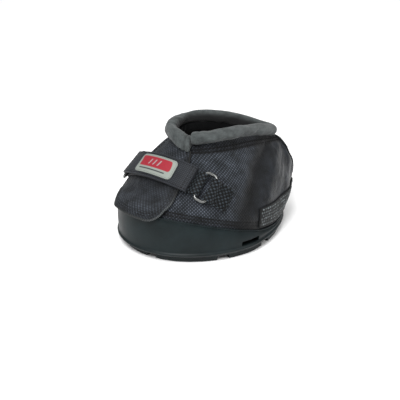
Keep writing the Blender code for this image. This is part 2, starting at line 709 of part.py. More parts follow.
# Inner front flap, hinged on the left quarter and lying under the outer flap
def inner_flap_stand(angle):
    """Stand of the inner flap's outer face, under the outer flap's layers."""
    plain = mix(FLAP_STAND_FAR, FLAP_STAND_NEAR, flap_share(angle))
    return plain - FLAP_FABRIC - FLAP_LINING - 2 * TAPE - 4 * GAP


def make_inner_flap():
    angles = angle_row(INNER_FLAP_HINGE_ANGLE - FLAP_ROOT_STEP, INNER_FLAP_END_ANGLE)
    rises = np.linspace(INNER_FLAP_BOTTOM_SHARE, INNER_FLAP_TOP_SHARE, 9)
    angle, rise = np.meshgrid(angles, rises)
    top = inner_flap_stand(angle)
    return slab("inner_flap", skin(angle, rise, top - FABRIC), skin(angle, rise, top), "nylon")


# Strap band: a flat strip over the upper whose path stays in one tilted plane
def band_normal():
    normal = np.array([-STRAP_SIDE_TILT_SHARE, STRAP_REAR_TILT_SHARE, 1.0])
    return normal / np.linalg.norm(normal)


def unit(vectors):
    return vectors / np.linalg.norm(vectors, axis=-1, keepdims=True)


def middle_line(station, stand):
    """The band's middle line at angles from the toe, found by halving the rise."""
    station = np.asarray(station, float)
    normal = band_normal()
    low = np.full(station.shape, -0.15)
    high = np.full(station.shape, 1.0)
    for _ in range(36):
        rise = (low + high) / 2
        short = skin(station, rise, stand(station, rise, station)) @ normal < STRAP_PLANE_OFFSET
        low = np.where(short, rise, low)
        high = np.where(short, high, rise)
    return skin(station, rise, stand(station, rise, station)), rise


def band(station, offset, stand):
    """Points across the band, square to its middle line, found by Newton's method."""
    station, offset = np.broadcast_arrays(np.asarray(station, float), np.asarray(offset, float))
    normal = band_normal()
    middle, rise = middle_line(station, stand)
    level = at_stand(stand(station, rise, station))
    run = middle_line(station + NORMAL_STEP, level)[0] - middle_line(station - NORMAL_STEP, level)[0]
    run = unit(run - (run @ normal)[..., None] * normal)
    angle = station.copy()
    for _ in range(7):
        here = skin(angle, rise, stand(angle, rise, station))
        beside = skin(angle + NORMAL_STEP, rise, stand(angle + NORMAL_STEP, rise, station))
        above = skin(angle, rise + NORMAL_STEP, stand(angle, rise + NORMAL_STEP, station))
        by_angle = (beside - here) / NORMAL_STEP
        by_rise = (above - here) / NORMAL_STEP
        miss_across = here @ normal - STRAP_PLANE_OFFSET - offset
        miss_along = ((here - middle) * run).sum(-1)
        a, b = by_angle @ normal, by_rise @ normal
        c, d = (by_angle * run).sum(-1), (by_rise * run).sum(-1)
        scale = a * d - b * c
        angle = angle - (miss_across * d - b * miss_along) / scale
        rise = rise - (a * miss_along - miss_across * c) / scale
    return skin(angle, rise, stand(angle, rise, station))


def at_stand(height):
    """A stand that is the same all over."""
    return lambda angle, rise, station: height + 0 * angle


def station_at(start, distance, stand):
    """The angle that lies a distance along the band from a starting angle."""
    start = float(start)
    turn = distance / TOE_REACH
    origin = middle_line(start, stand)[0]
    for _ in range(6):
        reach = np.linalg.norm(middle_line(start + turn, stand)[0] - origin)
        turn = turn * abs(distance) / reach
    return start + turn


def strap_low(angle, rise, station):
    """Under face of the strap: on the flap, then over the webbing's legs by the near ring."""
    rest = flap_stand(angle, rise) + 2 * GAP
    lifted = ease((np.degrees(station) - STRAP_LIFT_ANGLE) / STRAP_LIFT_TURN)
    return mix(rest, STRAP_NEAR_STAND, lifted)


def webbing_bar_stand():
    """Stand of a ring's bar that webbing is folded round."""
    return webbing_leg_stand() + WEBBING_THICKNESS / 2 + RING_PLAY + RING_WIRE / 2


def webbing_leg_stand():
    """Stand of the middle of a lower leg of webbing."""
    return 2 * GAP + WEBBING_THICKNESS / 2


def fold_bar_stand():
    """Stand of the far ring's front bar, which the strap passes under and over."""
    angle = far_bar_angle()
    rise = middle_line(angle, strap_low)[1]
    return float(strap_low(angle, rise, angle)) + STRAP_THICKNESS + RING_PLAY + RING_WIRE / 2


def bar_line(angle, stand):
    """Middle and direction of a straight bar laid over the band."""
    points = band(angle, band_offsets(WEBBING_WIDTH), at_stand(stand))
    return points.mean(axis=0), unit(points[-1] - points[0])


def band_offsets(width):
    return np.linspace(-width / 2, width / 2, BAND_COLUMNS)


def ring_frame(rear_angle, direction, front_stand):
    """A ring's rear and front bars, with the directions forward, across and outward."""
    rear_angle = radians(rear_angle)
    rear, rear_line = bar_line(rear_angle, webbing_bar_stand())
    turn = direction * RING_PITCH / TOE_REACH
    for _ in range(6):
        front, front_line = bar_line(rear_angle + turn, front_stand)
        turn = turn * RING_PITCH / np.linalg.norm(front - rear)
    forward = unit(front - rear)
    across = rear_line + front_line
    across = unit(across - forward * (across @ forward))
    out = np.cross(forward, across) * direction
    return {"rear": rear, "front": front, "forward": forward, "across": across, "out": out,
            "rear_angle": float(rear_angle), "front_angle": float(rear_angle + turn)}


def near_ring_frame():
    return ring_frame(NEAR_RING_ANGLE, -1, webbing_bar_stand())


def far_ring_frame():
    return ring_frame(FAR_RING_ANGLE, 1, fold_bar_stand())


def ring_points(frame, length):
    """Centre line of a wire ring with rounded corners."""
    middle = (frame["rear"] + frame["front"]) / 2
    half_along = RING_PITCH / 2 - RING_CORNER
    half_across = (length + RING_WIRE) / 2 - RING_CORNER
    points = []
    for quarter, (sx, sy) in enumerate(((1, 1), (-1, 1), (-1, -1), (1, -1))):
        for turn in np.linspace(90.0 * quarter, 90.0 * quarter + 90.0, RING_CORNER_STEPS):
            turn = math.radians(turn)
            u = sx * half_along + RING_CORNER * math.cos(turn)
            v = sy * half_across + RING_CORNER * math.sin(turn)
            points.append(middle + frame["forward"] * u + frame["across"] * v)
    return points


def bar_arc(frame, bar, radius, offset, count=9):
    """Half a turn round a bar, from under it to over it, on the ring's inner side."""
    centre = frame[bar] + frame["across"] * offset
    away = frame["forward"] * (1 if bar == "front" else -1)
    turns = np.linspace(-math.pi / 2, -3 * math.pi / 2, count)
    return [centre + away * radius * math.cos(t) + frame["out"] * radius * math.sin(t) for t in turns]


def folded_path(frame, bar, radius, offset, low_leg, high_leg):
    """One line of a folded strip: along the lower leg, round the bar and back."""
    arc = bar_arc(frame, bar, radius, offset)
    return [*pulled_leg(low_leg, arc[0]), *arc, *pulled_leg(high_leg, arc[-1])]


def pulled_leg(leg, end):
    """A leg's points, drawn towards the end of the bend that they run into."""
    return [point + (end - leg["root"]) * share for point, share in zip(leg["points"], leg["pull"])]


def band_leg(frame, bar, offset, reach, hold, settle, stand):
    """Points of one leg, and how strongly the straight bar pulls each of them."""
    start = frame[bar + "_angle"]
    direction = 1 if (frame["front_angle"] > frame["rear_angle"]) == (bar == "front") else -1
    stations = np.array([station_at(start, direction * distance, stand) for distance in reach])
    return {"root": band(start, offset, stand), "points": band(stations, offset, stand),
            "pull": 1.0 - ease((np.asarray(reach) - hold) / (settle - hold))}


def strip(name, paths, thickness, finish):
    """A folded strip; each path is its middle line at one place across its width."""
    paths = np.asarray(paths)
    side = unit(np.cross(np.gradient(paths, axis=1), np.gradient(paths, axis=0)))
    return slab(name, paths - side * thickness / 2, paths + side * thickness / 2, finish)


def make_webbing_loop(name, frame, bar, length):
    """Webbing folded round one bar of a ring, with both legs laid on the upper."""
    low = webbing_leg_stand()
    high = low + WEBBING_THICKNESS + WEBBING_LEG_GAP
    radius = RING_WIRE / 2 + RING_PLAY + WEBBING_THICKNESS / 2
    top = webbing_bar_stand() + radius
    start = frame[bar + "_angle"]
    hold = abs(station_at(start, WEBBING_HOLD, at_stand(low)) - start)
    settle = abs(station_at(start, WEBBING_SETTLE, at_stand(low)) - start)
    low_reach = np.linspace(length, WEBBING_LEG_START, 6)
    near_reach = np.linspace(WEBBING_LEG_START, WEBBING_SETTLE, 5)
    high_reach = [*near_reach, *np.linspace(WEBBING_SETTLE, length - UPPER_LEG_SHORTER, 4)[1:]]

    def high_stand(angle, rise, station):
        gone = (np.abs(station - start) - hold) / (settle - hold)
        return mix(top, high, ease(gone)) + 0 * angle

    paths = []
    for offset in band_offsets(WEBBING_WIDTH):
        low_leg = band_leg(frame, bar, offset, low_reach, WEBBING_HOLD, WEBBING_SETTLE, at_stand(low))
        high_leg = band_leg(frame, bar, offset, high_reach, WEBBING_HOLD, WEBBING_SETTLE, high_stand)
        paths.append(folded_path(frame, bar, radius, offset, low_leg, high_leg))
    return strip(name, paths, WEBBING_THICKNESS, "webbing")


def make_strap_fold(frame):
    """The strap's bend round the far ring's front bar."""
    radius = RING_WIRE / 2 + RING_PLAY + STRAP_THICKNESS / 2
    reach = np.array([FOLD_REACH, FOLD_REACH / 2])
    under = middle_of(strap_low, STRAP_THICKNESS)
    over = middle_of(tail_low, STRAP_THICKNESS)
    paths = []
    for offset in band_offsets(STRAP_WIDTH):
        low_leg = band_leg(frame, "front", offset, reach, 0.0, FOLD_REACH, under)
        high_leg = band_leg(frame, "front", offset, reach[::-1], 0.0, FOLD_REACH, over)
        paths.append(folded_path(frame, "front", radius, offset, low_leg, high_leg))
    return strip("strap_fold", paths, STRAP_THICKNESS, "nylon")


def middle_of(low, thickness):
    """Stand of the middle of a layer that lies on a lower face."""
    return lambda angle, rise, station: low(angle, rise, station) + thickness / 2


def tail_low(angle, rise, station):
    """Under face of the folded-back tail, which comes down from over the bar."""
    settled = strap_low(angle, rise, station) + STRAP_THICKNESS + 2 * GAP + TAPE
    over_bar = strap_low(angle, rise, station) + STRAP_THICKNESS + 2 * RING_PLAY + RING_WIRE
    start = far_bar_angle()
    share = ease((station - start) / (radians(TAIL_SETTLE_ANGLE) - start))
    return mix(over_bar, settled, share)


def far_bar_angle():
    """About where the far ring's front bar lies."""
    return radians(FAR_RING_ANGLE) + RING_PITCH / TOE_REACH


def label_low(angle, rise, station):
    return tail_low(angle, rise, station) + STRAP_THICKNESS + GAP


def tape_low(angle, rise, station):
    return strap_low(angle, rise, station) + STRAP_THICKNESS + GAP


def band_strip(name, stations, half_widths, low, thickness, finish, count=5):
    """A strip of the band between two faces, with a half width at each station."""
    shares = np.linspace(-1.0, 1.0, count)
    station = np.repeat(np.asarray(stations)[:, None], count, axis=1)
    offset = np.asarray(half_widths)[:, None] * shares
    inner = band(station, offset, low)
    outer = band(station, offset, lambda a, r, s: low(a, r, s) + thickness)
    return slab(name, inner, outer, finish)


def plain_strip(name, start, end, width, low, thickness, finish):
    stations = np.linspace(start, end, max(3, int(math.degrees(abs(end - start)) / ANGLE_STEP) + 2))
    return band_strip(name, stations, np.full(len(stations), width / 2), low, thickness, finish)


def make_label():
    """A blank woven label with rounded corners."""
    start, end = radians(LABEL_START), radians(LABEL_END)
    turn = LABEL_CORNER / np.linalg.norm(middle_line(0.0, label_low)[0][:2])
    steps = np.array([0.0, 0.13, 0.5, 1.0])
    middle = np.linspace(start + turn, end - turn, 9)[1:-1]
    stations = np.concatenate([start + turn * steps, middle, (end - turn * steps)[::-1]])
    near_end = np.minimum(stations - start, end - stations) / turn
    into = np.clip(1.0 - near_end, 0.0, 1.0)
    half_widths = LABEL_WIDTH / 2 - LABEL_CORNER * (1.0 - np.sqrt(1.0 - into ** 2))
    return band_strip("label", stations, half_widths, label_low, LABEL_THICKNESS, "label")


def make_strap_parts():
    near, far = near_ring_frame(), far_ring_frame()
    pieces = {}
    for name, frame, length in (("near_ring", near, NEAR_RING_LENGTH), ("far_ring", far, FAR_RING_LENGTH)):
        pieces[name] = tube(name, ring_points(frame, length), RING_WIRE / 2, "steel", closed=True)
    pieces["near_anchor"] = make_webbing_loop("near_anchor", near, "rear", NEAR_ANCHOR_LENGTH)
    pieces["far_anchor"] = make_webbing_loop("far_anchor", far, "rear", FAR_ANCHOR_LENGTH)
    pieces["strap_loop"] = make_webbing_loop("strap_loop", near, "front", STRAP_LOOP_LENGTH)
    pieces["strap_fold"] = make_strap_fold(far)
    start = station_at(far["front_angle"], STRAP_END_REACH, strap_low)
    end = radians(STRAP_NEAR_ANGLE)
    pieces["strap"] = plain_strip("strap", start, end, STRAP_WIDTH, strap_low, STRAP_THICKNESS, "nylon")
    end = radians(TAIL_END_ANGLE)
    pieces["strap_tail"] = plain_strip("strap_tail", start, end, STRAP_WIDTH, tail_low, STRAP_THICKNESS,
                                       "nylon")
    start, end = radians(TAIL_HOOK_START), radians(TAIL_HOOK_END)
    width = STRAP_WIDTH - 4 * GAP
    pieces["tail_hook_tape"] = plain_strip("tail_hook_tape", start, end, width, tape_low, TAPE, "hook_tape")
    pieces["label"] = make_label()
    return pieces, near, far


# Pivots: an empty on each joint's axis carries the pieces that turn about it
def add_pivot(name, place, axis, parent, pieces):
    pivot = bpy.data.objects.new(name, None)
    PARTS.objects.link(pivot)
    turn = Vector(axis).to_track_quat("Z", "Y")
    pivot.matrix_world = Matrix.Translation(Vector(place)) @ turn.to_matrix().to_4x4()
    if parent:
        keep_place(pivot, parent)
    bpy.context.view_layer.update()
    for piece in pieces:
        keep_place(piece, pivot)
    return pivot


def keep_place(piece, parent):
    bpy.context.view_layer.update()
    place = piece.matrix_world.copy()
    piece.parent = parent
    piece.matrix_parent_inverse = parent.matrix_world.inverted()
    piece.matrix_world = place


def flap_hinge():
    """The outer flap's hinge line, outside the folded cloth and the collar roll."""
    angle = radians(FLAP_HINGE_ANGLE)
    low = skin(angle, FLAP_ROOT_BOTTOM_SHARE, FLAP_HINGE_STAND)
    x, y, z = collar_edge(angle)
    run = np.array(collar_edge(angle + NORMAL_STEP)) - np.array(collar_edge(angle - NORMAL_STEP))
    away = unit(np.array([run[1], -run[0], 0.0]))
    middle = np.array([x, y, z + COLLAR_ROLL_RADIUS + GAP])
    high = middle + away * (COLLAR_ROLL_RADIUS + FLAP_HINGE_CLEARANCE)
    return low, low - high


def inner_flap_hinge():
    angle = radians(INNER_FLAP_HINGE_ANGLE)
    low = skin(angle, INNER_FLAP_BOTTOM_SHARE, INNER_HINGE_STAND)
    return low, skin(angle, INNER_FLAP_TOP_SHARE, INNER_HINGE_STAND) - low


def hang_moving_parts(pieces, near, far, flap, inner):
    ring_pivot = add_pivot("near_ring_pivot", near["rear"], near["across"], None, [pieces["near_ring"]])
    strap = [pieces[name] for name in ("strap", "strap_loop", "strap_fold")]
    strap_pivot = add_pivot("strap_pivot", near["front"], near["across"], ring_pivot, strap)
    tail = [pieces[name] for name in ("strap_tail", "tail_hook_tape", "label")]
    add_pivot("tail_pivot", far["front"], -far["across"], strap_pivot, tail)
    add_pivot("far_ring_pivot", far["rear"], -far["across"], None, [pieces["far_ring"]])
    add_pivot("flap_pivot", *flap_hinge(), None, flap)
    add_pivot("inner_flap_pivot", *inner_flap_hinge(), None, inner)


def main():
    make_outsole()
    board_base = FLOOR_HEIGHT + GAP
    footbed_base = board_base + BOARD_THICKNESS + GAP
    make_floor_layer("insole_board", board_base, BOARD_THICKNESS, BOARD_INSET, "board")
    make_floor_layer("footbed", footbed_base, FOOTBED_THICKNESS, FOOTBED_INSET, "foam")
    make_quarter("left_quarter", QUARTER_FRONT_LEFT, 1)
    make_quarter("right_quarter", QUARTER_FRONT_RIGHT, -1)
    make_lining("left_lining", QUARTER_FRONT_LEFT, 1)
    make_lining("right_lining", QUARTER_FRONT_RIGHT, -1)
    make_heel_guard()
    make_back_stay()
    collar_front = make_collars()
    outer_flap, flap_lining = make_outer_flap()
    flap_hook, inner_loop = make_hook_patches()
    binding = make_flap_binding()
    inner_flap = make_inner_flap()
    pieces, near, far = make_strap_parts()
    flap = [outer_flap, flap_lining, flap_hook, binding, collar_front]
    hang_moving_parts(pieces, near, far, flap, [inner_flap, inner_loop])


clear_scene()
PARTS = new_collection("hoof_boot")
CUTTERS = new_collection("cutters")
main()
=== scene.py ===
import math

import bmesh
import bpy
import numpy as np
from mathutils import Matrix, Vector


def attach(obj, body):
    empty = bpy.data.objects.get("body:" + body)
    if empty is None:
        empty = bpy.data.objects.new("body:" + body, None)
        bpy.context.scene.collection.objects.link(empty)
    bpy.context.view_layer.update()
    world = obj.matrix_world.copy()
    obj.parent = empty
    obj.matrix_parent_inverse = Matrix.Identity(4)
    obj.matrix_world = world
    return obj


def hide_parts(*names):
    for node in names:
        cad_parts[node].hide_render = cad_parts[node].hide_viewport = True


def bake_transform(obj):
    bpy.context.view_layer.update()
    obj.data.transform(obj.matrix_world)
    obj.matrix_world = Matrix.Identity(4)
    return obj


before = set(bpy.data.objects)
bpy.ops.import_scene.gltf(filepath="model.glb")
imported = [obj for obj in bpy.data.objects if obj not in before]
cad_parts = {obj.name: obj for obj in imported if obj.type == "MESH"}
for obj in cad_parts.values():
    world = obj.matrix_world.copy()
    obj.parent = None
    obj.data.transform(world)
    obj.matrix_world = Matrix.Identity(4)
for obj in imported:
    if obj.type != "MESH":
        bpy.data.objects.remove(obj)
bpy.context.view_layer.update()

# Outsole: the cup that the hoof stands in, with the tread, sole plate, rim bead, wall and lip.
# It is one compression moulding in tough black polyurethane rubber, so it has soft edges, a
# satin skin and a faint pebble grain, and it is paler where the rim and the tread scuff.
SOLE_WIDTH = 0.1350
TOE_REACH = 0.0812
HEEL_REACH = 0.0820
WIDEST_PLACE = -0.0020
LUG_HEIGHT = 0.0045
FLOOR_HEIGHT = 0.0095
RIM_HEIGHT = 0.0082
RIM_RADIUS = 0.0014
RIM_STAND = 0.0009
TREAD_INSET = 0.0025
TREAD_TOE_INSET = 0.0050
CUP_TOE_HEIGHT = 0.0430
CUP_HEEL_HEIGHT = 0.0132
CUP_WALL = 0.0030
CUP_LIP_WALL = 0.0015
CUP_BULGE = 0.0011
CUP_SIDE_LEAN = 0.0012
CUP_TOE_LEAN = 0.0009
CUP_HEEL_LEAN = -0.0008
TUCK_SHARE = 0.28
LIP_SHARES = ((0, 1.0), (30, 0.966), (50, 0.866), (70, 0.664), (90, 0.396), (110, 0.148), (130, 0.02),
              (180, 0.0))
CUP_REAR_SHARES = (1.18, 1.18)
EASE_SHARE = 0.45
LUG_GAP = 0.0098
LUG_BAND = 0.0170
LUG_GAP_ANGLES = (22.0, 76.0, 116.0, 155.0)
INNER_LUG_COUNT = 6
INNER_LUG_SHARE = 0.62
CENTRE_LUG = (0.0120, 0.0170)
LUG_LEAN = 0.0008
LUG_EDGE = 0.0004
LUG_OVERLAP = 0.0005
DRAIN = {"length": 0.0200, "height": 0.0046, "depth": 0.012, "corner": 0.0008, "angle": 96.1, "lift": 0.0018}
CUP_SEGMENTS = 288


def linear(code):
    """An sRGB hex colour as the linear values that a shader socket takes."""
    channels = [int(code[i:i + 2], 16) / 255 for i in (0, 2, 4)]
    return (*[c / 12.92 if c <= 0.04045 else ((c + 0.055) / 1.055) ** 2.4 for c in channels], 1.0)


def add_node(tree, kind, settings=None, inputs=None):
    """Adds a node, sets what it is, and fills or links its inputs."""
    node = tree.nodes.new(kind)
    for name, value in (settings or {}).items():
        setattr(node, name, value)
    for name, value in (inputs or {}).items():
        if isinstance(value, bpy.types.NodeSocket):
            tree.links.new(value, node.inputs[name])
        else:
            node.inputs[name].default_value = value
    return node


def new_finish(name, colour, roughness, specular=0.5, metallic=0.0):
    """A new material with its plain values set, its tree and its shader."""
    material = bpy.data.materials.new(name)
    material.use_nodes = True
    tree = material.node_tree
    shader = tree.nodes["Principled BSDF"]
    shader.inputs["Base Color"].default_value = linear(colour)
    shader.inputs["Roughness"].default_value = roughness
    shader.inputs["Specular IOR Level"].default_value = specular
    shader.inputs["Metallic"].default_value = metallic
    return material, tree, shader


def ease(share):
    share = np.clip(share, 0.0, 1.0)
    return share * share * (3.0 - 2.0 * share)


def mix(a, b, share):
    return a + (b - a) * share


def unit(vectors):
    return vectors / np.linalg.norm(vectors, axis=-1, keepdims=True)


def read_shares(table, column, place):
    """A smooth curve through a table's rows that never overshoots them."""
    xs = np.array([row[0] for row in table], float)
    ys = np.array([row[column] for row in table], float)
    slopes = np.diff(ys) / np.diff(xs)
    ends = np.zeros(len(xs))
    inner = slopes[:-1] * slopes[1:] > 0
    ends[1:-1][inner] = 2.0 / (1.0 / slopes[:-1][inner] + 1.0 / slopes[1:][inner])
    ends[0] = slopes[0]
    ends[-1] = slopes[-1]
    place = np.clip(np.asarray(place, float), xs[0], xs[-1])
    row = np.clip(np.searchsorted(xs, place, side="right") - 1, 0, len(xs) - 2)
    width = xs[row + 1] - xs[row]
    t = (place - xs[row]) / width
    start = (1.0 + 2.0 * t) * (1.0 - t) ** 2 * ys[row]
    finish = t * t * (3.0 - 2.0 * t) * ys[row + 1]
    lean = t * (1.0 - t) ** 2 * width * ends[row] - t * t * (1.0 - t) * width * ends[row + 1]
    return start + finish + lean


def outline(angle, half_width, toe, widest, heel, rear=CUP_REAR_SHARES):
    """A plan outline by angle from the toe: an ellipse in front, drawn in behind."""
    side, ahead = np.sin(angle), np.cos(angle)
    across, along = np.abs(side), np.abs(ahead)
    side_power = 1.0 + (rear[0] - 1.0) * ease(across / EASE_SHARE)
    rear_power = 1.0 + (rear[1] - 1.0) * ease(along / EASE_SHARE)
    behind = ahead < 0.0
    x = half_width * np.sign(side) * np.where(behind, across ** side_power, across)
    y = np.where(behind, widest + (heel - widest) * along ** rear_power, widest - (toe + widest) * along)
    return x, y


def cup_outline(angle, rise, inset):
    """The cup's outer face at a share of its height, drawn in by an inset."""
    swell = CUP_BULGE * np.sin(math.pi * np.clip(rise, 0.0, 1.0))
    half_width = SOLE_WIDTH / 2 - CUP_SIDE_LEAN * rise + swell - inset
    toe = TOE_REACH - CUP_TOE_LEAN * rise + swell - inset
    heel = HEEL_REACH - CUP_HEEL_LEAN * rise - inset
    return outline(angle, half_width, toe, WIDEST_PLACE, heel)


def lip_height(angle):
    turn = np.degrees(np.abs((angle + math.pi) % (2 * math.pi) - math.pi))
    return mix(CUP_HEEL_HEIGHT, CUP_TOE_HEIGHT, read_shares(LIP_SHARES, 1, turn))


def make_piece(name, verts, faces, material, uvs=None, crisp=45.0):
    """A smooth-shaded mesh object, with a UV for each vertex where the pattern needs one."""
    mesh = bpy.data.meshes.new(name)
    mesh.from_pydata(np.asarray(verts, float).tolist(), [], faces)
    work = bmesh.new()
    work.from_mesh(mesh)
    bmesh.ops.recalc_face_normals(work, faces=work.faces)
    work.to_mesh(mesh)
    work.free()
    if uvs is not None:
        layer = mesh.uv_layers.new(name="UVMap")
        corners = np.zeros(len(mesh.loops), int)
        mesh.loops.foreach_get("vertex_index", corners)
        layer.data.foreach_set("uv", np.asarray(uvs, float)[corners].ravel())
    mesh.shade_smooth()
    mesh.set_sharp_from_angle(angle=math.radians(crisp))
    mesh.materials.append(material)
    piece = bpy.data.objects.new(name, mesh)
    bpy.context.scene.collection.objects.link(piece)
    return piece


def plain_copy(piece):
    """Applies what is live on a piece, so that it is one plain mesh."""
    depsgraph = bpy.context.evaluated_depsgraph_get()
    mesh = bpy.data.meshes.new_from_object(piece.evaluated_get(depsgraph))
    piece.modifiers.clear()
    piece.data = mesh
    return piece


def ring_faces(rows, columns):
    """Faces of stacked closed loops."""
    return [(r * columns + c, r * columns + (c + 1) % columns, (r + 1) * columns + (c + 1) % columns,
             (r + 1) * columns + c) for r in range(rows - 1) for c in range(columns)]


# Satin rubber: a dielectric of IOR about 1.5 that is rough enough to spread highlights wide,
# with a fine pebble from the mould and a chalky bloom on edges and low on the wall.
satin_rubber, tree, shader = new_finish("moulded satin rubber", "171B1C", 0.42, 0.13)
place = add_node(tree, "ShaderNodeTexCoord").outputs["Object"]
bloom = add_node(tree, "ShaderNodeTexNoise", None,
                 {"Vector": place, "Scale": 38.0, "Detail": 5.0, "Roughness": 0.6})
tone = add_node(tree, "ShaderNodeValToRGB", None, {"Fac": bloom.outputs["Fac"]})
tone.color_ramp.elements[0].position = 0.30
tone.color_ramp.elements[0].color = linear("0C1314")
tone.color_ramp.elements[1].position = 0.75
tone.color_ramp.elements[1].color = linear("182022")
height = add_node(tree, "ShaderNodeSeparateXYZ", None, {0: place}).outputs["Z"]
low = add_node(tree, "ShaderNodeMapRange", {"interpolation_type": "SMOOTHSTEP"},
               {"Value": height, "From Min": 0.0115, "From Max": 0.0040, "To Min": 0.0, "To Max": 0.45})
scuff_and_lit_side = add_node(tree, "ShaderNodeMix", {"data_type": "RGBA"},
                   {0: low.outputs["Result"], 6: tone.outputs["Color"], 7: linear("272B2C")})
clouds = add_node(tree, "ShaderNodeTexNoise", None,
                  {"Vector": place, "Scale": 17.0, "Detail": 3.0, "Distortion": 0.6})
handled = add_node(tree, "ShaderNodeMapRange", None,
                   {"Value": clouds.outputs["Fac"], "From Min": 0.35, "From Max": 0.65,
                    "To Min": 0.70, "To Max": 1.30})
marked = add_node(tree, "ShaderNodeVectorMath", {"operation": "SCALE"},
                  {0: scuff_and_lit_side.outputs[2], "Scale": handled.outputs[0]})
tree.links.new(marked.outputs[0], shader.inputs["Base Color"])
pebble = add_node(tree, "ShaderNodeTexNoise", None, {"Vector": place, "Scale": 1100.0, "Detail": 2.0})
satin = add_node(tree, "ShaderNodeMapRange", None,
                 {"Value": bloom.outputs["Fac"], "From Min": 0.3, "From Max": 0.7,
                  "To Min": 0.36, "To Max": 0.50})
tree.links.new(satin.outputs["Result"], shader.inputs["Roughness"])
grain = add_node(tree, "ShaderNodeBump", None,
                 {"Height": pebble.outputs["Fac"], "Strength": 0.25, "Distance": 0.0002})
tree.links.new(grain.outputs["Normal"], shader.inputs["Normal"])

angle = np.linspace(0.0, 2 * math.pi, CUP_SEGMENTS, endpoint=False)
lip = lip_height(angle)
loops = []


def add_loop(xy, z):
    loops.append(np.stack([xy[0], xy[1], z + 0 * xy[0]], -1))


for share, z in ((1.0, LUG_HEIGHT), (0.8, LUG_HEIGHT + 0.0002), (0.45, 0.0056), (0.15, 0.0066)):
    half, toe = SOLE_WIDTH / 2 - TREAD_INSET * share, TOE_REACH - TREAD_TOE_INSET * share
    add_loop(outline(angle, half, toe, WIDEST_PLACE, HEEL_REACH - TREAD_INSET * share), z)
for turn in np.linspace(-1.0, 1.0, 11):
    stand = RIM_STAND * math.cos(turn * math.pi / 2)
    add_loop(cup_outline(angle, 0.0, -stand), RIM_HEIGHT + turn * RIM_RADIUS)
wall_start = RIM_HEIGHT + 1.6 * RIM_RADIUS
add_loop(cup_outline(angle, 0.0, 0.0003), RIM_HEIGHT + 1.2 * RIM_RADIUS)
for share in np.linspace(0.0, 0.9, 10):
    add_loop(cup_outline(angle, share, CUP_LIP_WALL / 4), mix(wall_start, lip - 0.0016, share))
LIP_PROFILE = ((0.00040, -0.00150), (0.00060, -0.00125), (0.00010, -0.00100), (-0.00010, -0.00070),
               (-0.00005, -0.00030), (0.00020, -0.00008), (0.00070, 0.00000), (0.00120, -0.00008),
               (0.00150, -0.0004))
for inset, drop in LIP_PROFILE:
    add_loop(cup_outline(angle, 1.0, inset), lip + drop)
tuck = lip - TUCK_SHARE * (lip - FLOOR_HEIGHT)
for share in (0.4, 1.0):
    inset = mix(CUP_LIP_WALL, CUP_WALL, share)
    add_loop(cup_outline(angle, 1.0 - TUCK_SHARE * share, inset), mix(lip, tuck, share))
for share in (0.45, 0.1):
    add_loop(cup_outline(angle, (1.0 - TUCK_SHARE) * share, CUP_WALL), mix(FLOOR_HEIGHT, tuck, share))
add_loop(cup_outline(angle, 0.0, CUP_WALL + 0.0015), FLOOR_HEIGHT)
verts = np.concatenate(loops)
faces = ring_faces(len(loops), CUP_SEGMENTS)
faces += [tuple(range(CUP_SEGMENTS)), tuple(range(len(verts) - CUP_SEGMENTS, len(verts)))]
outsole = make_piece("outsole_moulding", verts, faces, satin_rubber, crisp=50.0)


def tread_outline(turns, share):
    x, y = outline(turns, SOLE_WIDTH / 2 - TREAD_INSET, TOE_REACH - TREAD_TOE_INSET, WIDEST_PLACE,
                   HEEL_REACH - TREAD_INSET)
    return np.stack([x * share, y * share], -1)


reach = (SOLE_WIDTH / 2 + TOE_REACH) / 2
gap_turn = math.degrees(LUG_GAP / reach)
gaps = [*LUG_GAP_ANGLES, *[360.0 - a for a in reversed(LUG_GAP_ANGLES)]]
edges = []
for start, end in zip(gaps, gaps[1:] + [gaps[0] + 360.0]):
    turns = np.radians(np.linspace(start + gap_turn / 2, end - gap_turn / 2, 24))
    inner_edge = tread_outline(turns, 1.0 - LUG_BAND / reach)[::-1]
    edges.append(np.concatenate([tread_outline(turns, 0.994), inner_edge]))
inner_share = 1.0 - (LUG_BAND + LUG_GAP / 2) / reach
inner_gap = math.degrees(LUG_GAP / (reach * inner_share)) / 2
for i in range(INNER_LUG_COUNT):
    start = i * 360.0 / INNER_LUG_COUNT
    turns = np.radians(np.linspace(start + inner_gap, start + 360.0 / INNER_LUG_COUNT - inner_gap, 16))
    edges.append(np.concatenate([tread_outline(turns, inner_share),
                                 tread_outline(turns, inner_share * INNER_LUG_SHARE)[::-1]]))
w, l = CENTRE_LUG
edges.append(np.array([(-w, -l / 2), (0.0, -l), (w, -l / 2), (w, l / 2), (0.0, l), (-w, l / 2)]))
work = bmesh.new()
for edge in edges:
    middle = edge.mean(axis=0)
    foot = middle + (edge - middle) * (1.0 - LUG_LEAN / np.linalg.norm(edge - middle, axis=1).max())
    bottom = [work.verts.new((*p, 0.0)) for p in foot]
    top = [work.verts.new((*p, LUG_HEIGHT + LUG_OVERLAP)) for p in edge]
    work.faces.new(bottom)
    work.faces.new(top)
    for i in range(len(edge)):
        j = (i + 1) % len(edge)
        work.faces.new((bottom[i], bottom[j], top[j], top[i]))
bmesh.ops.recalc_face_normals(work, faces=work.faces)
sharp = [e for e in work.edges
         if e.calc_face_angle(0.0) > math.radians(35.0) and min(v.co.z for v in e.verts) < 0.001]
bmesh.ops.bevel(work, geom=sharp, offset=LUG_EDGE, segments=2, profile=0.5, affect="EDGES")
lug_mesh = bpy.data.meshes.new("tread_blocks")
work.to_mesh(lug_mesh)
work.free()
lug_blocks = bpy.data.objects.new("tread_blocks", lug_mesh)
bpy.context.scene.collection.objects.link(lug_blocks)
join = outsole.modifiers.new("tread", "BOOLEAN")
join.operation, join.object, join.solver = "UNION", lug_blocks, "EXACT"
drain_tools = []
